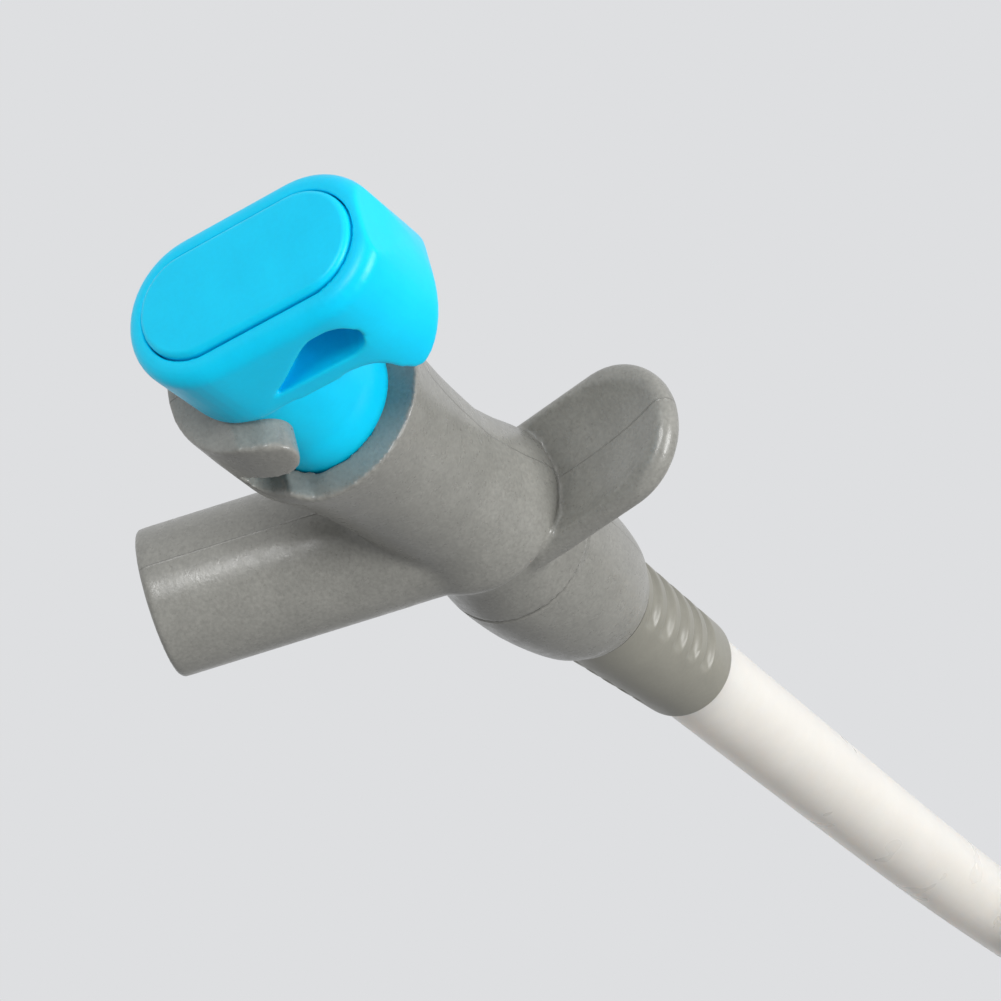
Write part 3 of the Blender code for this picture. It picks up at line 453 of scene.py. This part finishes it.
def blue_elastomer(colour):
    """Soft-touch overmoulding: saturated, light goes a little way in, with small glossy highlights."""
    made, tree, shader, place = principled(
        "soft_touch_blue_elastomer", colour, 0.36, Subsurface_Weight=0.25, Subsurface_Scale=1.2 * MM
    )
    shader.inputs["Subsurface Radius"].default_value = (0.3, 0.8, 1.0)
    shader.inputs["Specular IOR Level"].default_value = 0.25
    fine = grain(tree, place, 0.4 * MM, 2.0)
    cloudy = grain(tree, place, 5.0 * MM, 2.0)
    factors = spread(tree, fine, 0.985, 1.015), spread(tree, cloudy, 0.97, 1.03)
    tree.links.new(shaded(tree, colour, *factors), shader.inputs["Base Color"])
    tree.links.new(spread(tree, cloudy, 0.3, 0.42), shader.inputs["Roughness"])
    bump = add_node(tree, "ShaderNodeBump", {"Strength": 0.08, "Distance": 0.04 * MM, "Height": fine})
    tree.links.new(bump.outputs[0], shader.inputs["Normal"])
    return made


def milky_tube(colour):
    """Extruded polyurethane tube: milky because light scatters in its wall, with faint drawn streaks."""
    made, tree, shader, place = principled(
        "milky_polyurethane_tube", colour, 0.3, IOR=1.5, Subsurface_Weight=1.0, Subsurface_Scale=8.0 * MM
    )
    shader.inputs["Subsurface Radius"].default_value = (1.0, 0.9, 0.8)
    cloudy = grain(tree, place, 9.0 * MM, 2.0)
    fine = grain(tree, place, 1.2 * MM, 2.0)
    factors = spread(tree, cloudy, 0.975, 1.01), spread(tree, fine, 0.99, 1.01)
    tree.links.new(shaded(tree, colour, *factors), shader.inputs["Base Color"])
    tree.links.new(spread(tree, cloudy, 0.26, 0.36), shader.inputs["Roughness"])
    bump = add_node(tree, "ShaderNodeBump", {"Strength": 0.06, "Distance": 0.1 * MM, "Height": fine})
    tree.links.new(bump.outputs[0], shader.inputs["Normal"])
    return made


def natural_acetal(colour):
    """Uncoloured acetal: off-white, waxy, with turning marks too fine to see as lines."""
    made, tree, shader, place = principled("natural_acetal", colour, 0.35, IOR=1.48)
    fine = grain(tree, place, 0.3 * MM, 2.0)
    tree.links.new(shaded(tree, colour, spread(tree, fine, 0.97, 1.03)), shader.inputs["Base Color"])
    tree.links.new(spread(tree, fine, 0.3, 0.42), shader.inputs["Roughness"])
    return made


def black_rubber(colour):
    """Moulded rubber of the sealing rings: matt and nearly black."""
    made, tree, shader, place = principled("black_moulded_rubber", colour, 0.6, IOR=1.52)
    fine = grain(tree, place, 0.2 * MM, 2.0)
    tree.links.new(shaded(tree, colour, spread(tree, fine, 0.85, 1.15)), shader.inputs["Base Color"])
    bump = add_node(tree, "ShaderNodeBump", {"Strength": 0.2, "Distance": 0.02 * MM, "Height": fine})
    tree.links.new(bump.outputs[0], shader.inputs["Normal"])
    return made


def drawn_steel(colour):
    """Drawn stainless steel: bright, with fine marks that spread its highlights."""
    made, tree, shader, place = principled("drawn_stainless_steel", colour, 0.28, Metallic=1.0)
    fine = grain(tree, place, 0.15 * MM, 2.0)
    tree.links.new(spread(tree, fine, 0.2, 0.36), shader.inputs["Roughness"])
    return made


def finish_of(name):
    """A named finish, made once."""
    makers = {
        "grey": (grey_moulding, "satin_grey_moulded_plastic"),
        "sleeve_grey": (sleeve_elastomer, "satin_grey_elastomer"),
        "blue": (blue_elastomer, "soft_touch_blue_elastomer"),
        "milky": (milky_tube, "milky_polyurethane_tube"),
        "natural": (natural_acetal, "natural_acetal"),
        "rubber": (black_rubber, "black_moulded_rubber"),
        "steel": (drawn_steel, "drawn_stainless_steel"),
    }
    maker, made = makers[name]
    return bpy.data.materials.get(made) or maker(getattr(bpy.context.scene.valve_finishes, name))


# ---------------------------------------------------------------- body


def barrel(sizes):
    """The barrel's outer wall, flared to its rim, with the collar above it."""
    down, waist, rim = -sizes.barrel_length, sizes.waist_radius, sizes.rim_radius
    top = sizes.collar_height + 0.6 * MM
    wall = smooth_line(
        [
            (down, sizes.seam_radius, 0),
            (0.85 * down, waist + 0.1 * MM, 0),
            (0.7 * down, waist, 0),
            (0.5 * down, waist + 0.15 * MM, 0),
            (0.3 * down, waist + 0.5 * MM, 0),
            (0.15 * down, waist + 1.05 * MM, 0),
            (0.05 * down, rim - 0.35 * MM, 0),
            (0, rim, 0),
        ]
    )
    profile = [(down, 0), *[(p.x, p.y) for p in wall], (0.5 * top, rim - 0.15 * MM), (top, rim - 0.45 * MM), (top, 0)]
    return keep("barrel", spun(profile))


def shoulder(sizes):
    """The flare in front of the paddle, ending in a round edge."""
    r, low, round_r = sizes.shoulder_radius, -sizes.shoulder_depth, 1.5 * MM
    flare = smooth_line(
        [
            (low + 17 * MM, r - 1.6 * MM, 0),
            (low + 11 * MM, r - 1.3 * MM, 0),
            (low + 6 * MM, r - 0.75 * MM, 0),
            (low + 3 * MM, r - 0.2 * MM, 0),
            (low + round_r, r, 0),
        ]
    )
    edge = arc((low + round_r, r - round_r), round_r, 90, 180, 8)
    bm = spun([(low + 17 * MM, 0), *[(p.x, p.y) for p in flare], *edge, (low, 0)])
    bmesh.ops.translate(bm, verts=bm.verts[:], vec=(0, -0.35 * MM, 0))
    return keep("shoulder", bm)


def spout_direction(sizes):
    return Vector((sin(sizes.spout_sweep), cos(sizes.spout_sweep), 0))


def spout(sizes):
    """The plain round spout, with its end's edge just broken."""
    edge = 0.4 * MM
    end = arc((sizes.spout_length - edge, sizes.spout_radius - edge), edge, 90, 0, 4)
    bm = spun([(0, 0), (0, sizes.spout_radius), *end, (sizes.spout_length, 0)])
    bm.transform(along(spout_direction(sizes), (-sizes.spout_depth, 0, 0)))
    return keep("spout", bm)


def paddle(sizes):
    """A round-ended tongue swept towards the button, hollowed on that side, with a soft raised edge."""
    half, thick = sizes.paddle_half_width, sizes.paddle_thickness
    tip = arc((sizes.paddle_length - half, 0), half, -90, 90, 36)
    bm = prism([(0, -half), *tip, (0, half)], -thick / 2, thick / 2)
    rims = [e for e in bm.edges if e.calc_face_angle(0) > radians(40) and max(v.co.x for v in e.verts) > 1 * MM]
    bevelled(bm, rims, 0.42 * thick, 5)
    blade = keep("blade", bm)

    dish = bmesh.new()
    bmesh.ops.create_uvsphere(dish, u_segments=64, v_segments=32, radius=1)
    depth = 2.6 * sizes.paddle_dish
    spread_out = sqrt(1 - ((depth - sizes.paddle_dish) / depth) ** 2)
    half_length = (sizes.paddle_length - 2 * MM) / 2
    half_width = half - 0.8 * MM
    size = (half_length / spread_out, half_width / spread_out, depth)
    bmesh.ops.scale(dish, verts=dish.verts[:], vec=size)
    middle = (sizes.paddle_length - 1.0 * MM - half_length, 0, -thick / 2 - depth + sizes.paddle_dish)
    bmesh.ops.translate(dish, verts=dish.verts[:], vec=middle)
    combine(blade, [keep("dish", dish)], "DIFFERENCE")

    out = Vector((sin(sizes.paddle_sweep), -cos(sizes.paddle_sweep), 0))
    up = Vector((0, 0, 1))
    lie = Matrix((out, up, out.cross(up))).transposed().to_4x4()
    blade.data.transform(Matrix.Translation((-sizes.paddle_depth, 0, 0)) @ lie)
    return blade


def wave(sizes):
    """What is cut away above the low rim, which leaves the collar's two wave crests."""
    far = sizes.rim_radius + 2 * MM
    top = sizes.collar_height
    low_rim = [(0, -far), (0, -4 * MM), (0.1 * MM, 0), (0.3 * MM, 2.4 * MM)]
    trough = arc((3.2 * MM, 4.8 * MM), 1.8 * MM, 215, 5, 16)
    nose = arc((7.6 * MM, 2.0 * MM), 2.4 * MM, 175, 335, 20)
    crest = [(top + 0.1 * MM, 3.2 * MM), (top - 0.35 * MM, 5.0 * MM), (sizes.collar_end_height, far)]
    over = top + 4 * MM
    outline = low_rim + trough + nose + crest + [(over, far), (over, -far)]
    return keep("wave", prism(outline, -far, far))


def body_corners(sizes):
    """The places where the spout, the paddle and the shoulder run into the barrel."""
    out = spout_direction(sizes)
    foot = Vector((-sizes.spout_depth, 0, 0))

    def at_spout(point):
        rel = point - foot
        off_axis = (rel - out * rel.dot(out)).length
        from_barrel = hypot(point.y, point.z)
        return rel.dot(out) > 0 and 6.4 * MM < off_axis < 10 * MM and 6.6 * MM < from_barrel < 10 * MM

    def at_paddle(point):
        from_barrel = hypot(point.y, point.z)
        return point.y < -2 * MM and 6.6 * MM < from_barrel < 9.4 * MM and -33 * MM < point.x < -28.6 * MM

    return at_spout, at_paddle


def make_body(sizes):
    """Barrel, collar, spout and paddle, moulded in one."""
    body = barrel(sizes)
    body.name = "moulded_body"
    combine(body, [shoulder(sizes), spout(sizes), paddle(sizes)], "UNION")
    down = sizes.barrel_length
    chamber, pocket, step = 5.4 * MM, 6.1 * MM, 29.0 * MM
    piston_end = 12.6 * MM
    rim_round = 0.35 * MM
    bore = spun(
        [
            (20 * MM, 0),
            (20 * MM, sizes.bore_radius),
            (-piston_end, sizes.bore_radius),
            (-piston_end, chamber),
            (-step, chamber),
            (-step, pocket),
            (-down - 1 * MM, pocket),
            (-down - 1 * MM, 0),
        ]
    )
    mouth = sizes.spout_length + 1 * MM
    lip = sizes.spout_length - rim_round
    spout_bore = spun(
        [
            (0, 0),
            (0, sizes.spout_bore),
            (lip, sizes.spout_bore),
            (mouth, sizes.spout_bore + 1.4 * MM),
            (mouth, 0),
        ]
    )
    spout_bore.transform(along(spout_direction(sizes), (-sizes.spout_depth, 0, 0)))
    combine(body, [keep("bore", bore), keep("spout_bore", spout_bore), wave(sizes)], "DIFFERENCE")
    moulded(body, sizes.skin, 6, body_corners(sizes), 50)
    body.data.materials.append(finish_of("grey"))
    return placed(body, "valve", "grey_body", "valve_body")


# ---------------------------------------------------------------- cap and sleeve


def make_cap(body_sizes, sizes):
    """The round cap below the seam, with its spigot, the spring's chamber and the hose barb."""
    seam = -body_sizes.barrel_length - 0.04 * MM
    end = -(body_sizes.barrel_length + sizes.cap_length)
    seam_r, end_r = body_sizes.seam_radius, sizes.cap_end_radius
    dome = smooth_line(
        [
            (seam - 0.25 * MM, seam_r + 0.02 * MM, 0),
            (seam - 2.5 * MM, seam_r + 0.12 * MM, 0),
            (seam - sizes.cap_shoulder, seam_r + 0.1 * MM, 0),
            (seam - sizes.cap_shoulder - 4 * MM, seam_r - 0.25 * MM, 0),
            (end + 2.6 * MM, seam_r - 0.75 * MM, 0),
            (end + 1.0 * MM, end_r + 0.35 * MM, 0),
            (end, end_r, 0),
        ]
    )
    barb_r, bore_r, chamber_r = 2.6 * MM, 2.0 * MM, 5.1 * MM
    spigot, rim = 5.8 * MM, CAP_HIGH.x - VALVE.x
    profile = [
        (rim, chamber_r),
        (rim, spigot),
        (seam, spigot),
        (seam, seam_r - 0.2 * MM),
        *[(p.x, p.y) for p in dome],
        (end, barb_r),
        (end - 13 * MM, barb_r),
        (end - 13 * MM, bore_r),
        (end + 3.4 * MM, bore_r),
        (end + 3.4 * MM, chamber_r),
    ]
    cap = keep("inlet_cap_shell", spun(profile, closed=True, steps=128), finish_of("grey"))
    cap.data.set_sharp_from_angle(angle=radians(35))
    return placed(cap, "valve", "grey_body", "inlet_cap")


def make_sleeve(sizes):
    """The sleeve over the hose's end: notched on both sides, with smooth panels above and below."""
    total = SLEEVE_TOP - SLEEVE_END
    pitch = 0.8 * total / sizes.ribs
    inside = sizes.hose_radius + 0.12 * MM
    outer = []
    rows = 120
    for i in range(rows + 1):
        outer.append((SLEEVE_TOP - total * i / rows, 1.0))
    bm = spun(
        [(SLEEVE_TOP, 0.8), *outer, (SLEEVE_END, 0.8)], closed=False, steps=128
    )
    for v in bm.verts:
        share = (SLEEVE_TOP - v.co.x) / total
        radius = hypot(v.co.y, v.co.z)
        around = atan2(v.co.z, v.co.y)
        wall = sizes.sleeve_radius + (sizes.sleeve_end_radius - sizes.sleeve_radius) * share
        if radius < 0.9:
            target = inside
        else:
            from_start = (share * total - 0.9 * MM) / pitch
            phase = from_start % 1.0
            notch = max(0.0, sin(pi * min(1.0, phase / 0.62))) ** 0.7 if phase < 0.62 else 0.0
            if not 0 <= from_start < sizes.ribs:
                notch = 0.0
            sideways = max(0.0, min(1.0, (abs(cos(around)) - 0.62) / 0.2))
            end_round = 0.45 * MM
            near_end = max(0.0, end_round - (1 - share) * total)
            target = wall - sizes.rib_depth * notch * sideways * sideways * (3 - 2 * sideways)
            target -= end_round - sqrt(max(0.0, end_round**2 - near_end**2))
        v.co.y = target * cos(around)
        v.co.z = target * sin(around)
    ends = [e for e in bm.edges if e.is_boundary]
    bmesh.ops.bridge_loops(bm, edges=ends)
    sleeve = keep("ribbed_sleeve", bm, finish_of("sleeve_grey"))
    sleeve.data.set_sharp_from_angle(angle=radians(50))
    return placed(sleeve, "valve", "grey_sleeve", "hose_sleeve")


# ---------------------------------------------------------------- button


def head_side(sizes):
    """The head from the side as (x, y): block, lobe on the paddle's side, and the bar under the hole."""
    end, low = -sizes.paddle_end, sizes.lobe_bottom
    over, bar = sizes.head_top + 1 * MM, sizes.bar_under
    lobe = smooth_line(
        [
            (over, end + 1.3 * MM, 0),
            (over - 3.0 * MM, end + 0.7 * MM, 0),
            (low + 8.5 * MM, end + 0.2 * MM, 0),
            (low + 5.5 * MM, end, 0),
            (low + 3.5 * MM, end + 0.3 * MM, 0),
            (low + 2.0 * MM, end + 1.2 * MM, 0),
            (low + 0.8 * MM, end + 2.6 * MM, 0),
            (low + 0.1 * MM, end + 4.1 * MM, 0),
            (low + 0.4 * MM, end + 5.0 * MM, 0),
            (low + 1.6 * MM, end + 5.7 * MM, 0),
            (low + 3.0 * MM, end + 6.3 * MM, 0),
            (bar - 0.3 * MM, end + 7.4 * MM, 0),
            (bar, end + 9.2 * MM, 0),
        ],
        4,
    )
    top = [(over, sizes.spout_end + 1 * MM)]
    return top + [(p.x, p.y) for p in lobe] + [(bar, sizes.spout_end + 1 * MM)]


def finger_hole(sizes):
    """The finger hole under the head, as (x, y)."""
    far, low, top = -sizes.hole_far_end, sizes.bar_top, sizes.hole_top
    round_part = smooth_line(
        [
            (low, far + 1.8 * MM, 0),
            (low + 0.5 * MM, far + 0.6 * MM, 0),
            (low + 1.6 * MM, far, 0),
            (top - 1.4 * MM, far + 0.1 * MM, 0),
            (top - 0.3 * MM, far + 1.0 * MM, 0),
            (top, far + 2.2 * MM, 0),
            (top - 0.2 * MM, far + 3.6 * MM, 0),
            (top - 1.4 * MM, far + 5.3 * MM, 0),
            (low + 1.2 * MM, far + 7.4 * MM, 0),
            (low, far + 9.2 * MM, 0),
        ],
        5,
    )
    return [(p.x, p.y) for p in round_part]


def make_button(sizes):
    """Head with its finger hole, post, ball, and the skirt that slides in the barrel."""
    outline = stadium(sizes.half_width, sizes.spout_end, sizes.paddle_end)
    block = prism(outline, sizes.lobe_bottom - 1 * MM, sizes.head_top, axis="X")
    rim = [e for e in block.edges if all(v.co.x > sizes.head_top - 0.01 * MM for v in e.verts)]
    bevelled(block, rim, sizes.edge, 8)
    head = keep("press_button", block)
    wide = sizes.half_width + 2 * MM
    combine(head, [keep("side", prism(head_side(sizes), -wide, wide))], "INTERSECT")
    combine(head, [keep("hole", prism(finger_hole(sizes), -wide, wide))], "DIFFERENCE")

    r, centre = sizes.ball_radius, sizes.ball_centre
    skirt_r = r - 0.1 * MM
    ball = arc((centre, 0), r, 90, 0, 24)[:-1]
    stump = spun([(-sizes.skirt_depth, 0), (-sizes.skirt_depth, skirt_r), *ball, (centre + r, 0)])
    post_top = sizes.hole_top
    post = spun([(centre, 0), (centre, sizes.post_radius + 0.1 * MM), (post_top, sizes.post_radius - 0.2 * MM), (post_top, 0)])
    combine(head, [keep("stump", stump), keep("post", post)], "UNION")

    socket = spun(
        [(-sizes.skirt_depth - 1 * MM, 0), (-sizes.skirt_depth - 1 * MM, 1.8 * MM), (4 * MM, 1.8 * MM), (4 * MM, 0)]
    )
    middle = (PAD_LOW.y + PAD_HIGH.y) / 2 - VALVE.y
    half = sizes.pad_length / 2
    gap = 0.12 * MM
    seat_outline = stadium(sizes.pad_half_width + gap, middle + half + gap, half - middle + gap)
    seat = prism(seat_outline, sizes.head_top - sizes.pad_seat, sizes.head_top + 1 * MM, axis="X")
    combine(head, [keep("socket", socket), keep("seat", seat)], "DIFFERENCE")

    def at_lobe_edge(point):
        return point.x < sizes.bar_under + 0.5 * MM and point.y < -6.9 * MM

    def under_head(point):
        neck = sizes.ball_centre + 1.5 * MM < point.x < sizes.bar_under + 1.0 * MM
        return neck and hypot(point.y, point.z) < 7.2 * MM

    moulded(head, sizes.skin, 5, (at_lobe_edge, under_head), 40)
    head.data.materials.append(finish_of("blue"))
    placed(head, "plunger", "blue_button", "thumb_button")

    pad_outline = stadium(sizes.pad_half_width, middle + half, half - middle, 40)
    bm = prism(pad_outline, sizes.head_top - sizes.pad_seat + 0.2 * MM, sizes.head_top + sizes.pad_rise, axis="X")
    top = sizes.head_top + sizes.pad_rise - 0.01 * MM
    bevelled(bm, [e for e in bm.edges if all(v.co.x > top for v in e.verts)], 0.55 * MM, 6)
    pad = keep("raised_pad", bm, finish_of("blue"))
    pad.data.set_sharp_from_angle(angle=radians(50))
    return placed(pad, "plunger", "blue_button", "button_pad")


# ---------------------------------------------------------------- hose, up to the plug


def hose_points(sizes):
    """The middle line of the whole hose, from inside the sleeve to inside the plug."""
    start = Vector(c * MM for c in HOSE_ROUTE[0])
    route = [start + Vector((5 * MM, 0, 0))] + [Vector(c * MM for c in point) for point in HOSE_ROUTE]
    line = smooth_line(route, 3)
    count = round(28 * sizes.coil_turns)
    lift = PLUG_HEIGHT - coil_point(sizes, sizes.coil_turns).z
    for i in range(1, count + 1):
        turns = sizes.coil_turns * i / count
        share = max(0.0, 1 - (sizes.coil_turns - turns) / RISE_TURNS)
        line.append(coil_point(sizes, turns) + Vector((0, 0, lift * share**2 * (3 - 2 * share))))
    return line


def coil_point(sizes, turns):
    """A point of the coiled hose's middle line: one hose diameter higher with each turn."""
    around = COIL_START + 2 * pi * turns
    r = sizes.coil_radius
    height = sizes.hose_radius + 2 * sizes.hose_radius * turns
    return Vector((COIL_CENTRE.x + r * cos(around), COIL_CENTRE.y + r * sin(around), height))


def make_hose(sizes):
    """One curve, round in section, for the whole hose."""
    points = hose_points(sizes)
    curve = bpy.data.curves.new("drink_hose", "CURVE")
    curve.dimensions = "3D"
    curve.bevel_depth = sizes.hose_radius
    curve.bevel_resolution = 12
    curve.use_fill_caps = True
    curve.resolution_u = 4
    curve.render_resolution_u = 4
    line = curve.splines.new("NURBS")
    line.points.add(len(points) - 1)
    for spot, point in zip(line.points, points):
        spot.co = (*point, 1)
    line.use_endpoint_u = True
    line.order_u = 4
    hose = bpy.data.objects.new("drink_hose", curve)
    bpy.context.scene.collection.objects.link(hose)
    curve.materials.append(finish_of("milky"))
    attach(hose, "valve")
    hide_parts("hose", "hose_coil", "hose_inlet_end")
    return hose


# ---------------------------------------------------------------- stage


def make_stage(colours):
    """Pale floor that gives off its own light, a soft sky, two soft boxes and the camera."""
    ground = tuple(colours.ground)
    floor = bmesh.new()
    bmesh.ops.create_grid(floor, x_segments=1, y_segments=1, size=4.0)
    bmesh.ops.translate(floor, verts=floor.verts[:], vec=(0, 0, -0.2 * MM))
    mesh = bpy.data.meshes.new("floor")
    floor.to_mesh(mesh)
    floor.free()
    made = bpy.data.objects.new("floor", mesh)
    bpy.context.scene.collection.objects.link(made)
    finish = bpy.data.materials.new("light_table")
    finish.use_nodes = True
    tree = finish.node_tree
    tree.nodes.clear()
    glow = add_node(tree, "ShaderNodeEmission", {"Color": (*ground, 1), "Strength": 1.0})
    out = add_node(tree, "ShaderNodeOutputMaterial")
    tree.links.new(glow.outputs[0], out.inputs["Surface"])
    mesh.materials.append(finish)

    world = bpy.data.worlds.new("soft_room")
    bpy.context.scene.world = world
    world.use_nodes = True
    tree = world.node_tree
    tree.nodes.clear()
    sky = add_node(tree, "ShaderNodeBackground", {"Color": (*ground, 1), "Strength": 0.44})
    out = add_node(tree, "ShaderNodeOutputWorld")
    tree.links.new(sky.outputs[0], out.inputs["Surface"])

    soft_box("front_box", (0.95, -0.3, 0.12), 0.9, 0.3, 3.6)
    soft_box("side_box", (0.0, -0.85, 0.42), 0.9, 0.4, 6.6)
    bpy.context.scene.view_settings.view_transform = "Standard"
    make_camera()


def soft_box(name, direction, distance, size, power):
    """A square soft light that faces the valve from a direction."""
    light = bpy.data.lights.new(name, "AREA")
    light.shape = "SQUARE"
    light.size = size
    light.energy = power
    made = bpy.data.objects.new(name, light)
    toward = Vector(direction).normalized()
    made.location = VALVE + toward * distance
    made.rotation_euler = toward.to_track_quat("Z", "Y").to_euler()
    bpy.context.scene.collection.objects.link(made)
    return made


def make_camera():
    """The camera looks down on the button's end, turned nearly upside down."""
    camera = bpy.data.cameras.new("camera")
    camera.lens = 111.83
    camera.sensor_width = 36
    camera.clip_start = 0.01
    made = bpy.data.objects.new("camera", camera)
    right = Vector((-0.4735, -0.8489, 0.2347)).normalized()
    back = Vector((0.8061, -0.3103, 0.5039)).normalized()
    up = back.cross(right).normalized()
    turn = Matrix((right, up, back)).transposed().to_4x4()
    made.matrix_world = Matrix.Translation(VALVE + Vector((0.19345, -0.08721, 0.13736))) @ turn
    bpy.context.scene.collection.objects.link(made)
    bpy.context.scene.camera = made


# ---------------------------------------------------------------- operators


class VALVE_OT_stage(bpy.types.Operator):
    """Make the floor, the light and the camera"""

    bl_idname = "drink_valve.stage"
    bl_label = "Stage"

    def execute(self, context):
        make_stage(context.scene.valve_finishes)
        return {"FINISHED"}


class VALVE_OT_hose(bpy.types.Operator):
    """Make the hose, from the sleeve to the plug"""

    bl_idname = "drink_valve.hose"
    bl_label = "Hose"

    def execute(self, context):
        make_hose(context.scene.valve_inlet)
        return {"FINISHED"}


class VALVE_OT_body(bpy.types.Operator):
    """Make the moulded body with its spout, collar and paddle"""

    bl_idname = "drink_valve.body"
    bl_label = "Body"

    def execute(self, context):
        make_body(context.scene.valve_body)
        return {"FINISHED"}


class VALVE_OT_inlet(bpy.types.Operator):
    """Make the inlet cap and the ribbed hose sleeve"""

    bl_idname = "drink_valve.inlet"
    bl_label = "Cap and sleeve"

    def execute(self, context):
        make_cap(context.scene.valve_body, context.scene.valve_inlet)
        make_sleeve(context.scene.valve_inlet)
        return {"FINISHED"}


class VALVE_OT_button(bpy.types.Operator):
    """Make the thumb button and its raised pad"""

    bl_idname = "drink_valve.button"
    bl_label = "Button"

    def execute(self, context):
        make_button(context.scene.valve_button)
        return {"FINISHED"}


class VALVE_OT_inner_parts(bpy.types.Operator):
    """Give the inner parts their finishes"""

    bl_idname = "drink_valve.inner_parts"
    bl_label = "Inner parts"

    def execute(self, context):
        finishes = {
            "natural": ("valve_seat", "spring_seat", "piston", "poppet"),
            "rubber": ("seat_gasket", "piston_ring", "poppet_washer", "plug_ring"),
            "steel": ("plunger_stem", "poppet_nut", "return_spring"),
            "grey": ("connector_plug",),
        }
        for finish, nodes in finishes.items():
            for node in nodes:
                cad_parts[node].data.materials.clear()
                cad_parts[node].data.materials.append(finish_of(finish))
        return {"FINISHED"}


class VALVE_PT_sidebar(bpy.types.Panel):
    """Lists the pieces and their sizes"""

    bl_idname = "VALVE_PT_sidebar"
    bl_label = "Drink valve"
    bl_space_type = "VIEW_3D"
    bl_region_type = "UI"
    bl_category = "Drink valve"

    def draw(self, context):
        for step in STEPS:
            self.layout.operator(step.bl_idname)
        for store in SIZES:
            box = self.layout.box()
            group = getattr(context.scene, store)
            for name in group.__annotations__:
                box.prop(group, name)


STEPS = (VALVE_OT_stage, VALVE_OT_hose, VALVE_OT_body, VALVE_OT_inlet, VALVE_OT_button, VALVE_OT_inner_parts)
SIZES = {
    "valve_body": BodySizes,
    "valve_button": ButtonSizes,
    "valve_inlet": InletSizes,
    "valve_finishes": Finishes,
}


def register():
    for group in SIZES.values():
        bpy.utils.register_class(group)
    for step in (*STEPS, VALVE_PT_sidebar):
        bpy.utils.register_class(step)
    for store, group in SIZES.items():
        setattr(bpy.types.Scene, store, bpy.props.PointerProperty(type=group))


def unregister():
    for store in SIZES:
        delattr(bpy.types.Scene, store)
    for step in (VALVE_PT_sidebar, *reversed(STEPS)):
        bpy.utils.unregister_class(step)
    for group in SIZES.values():
        bpy.utils.unregister_class(group)


def main():
    register()
    for step in STEPS:
        area, name = step.bl_idname.split(".")
        getattr(getattr(bpy.ops, area), name)()


if __name__ == "__main__":
    main()
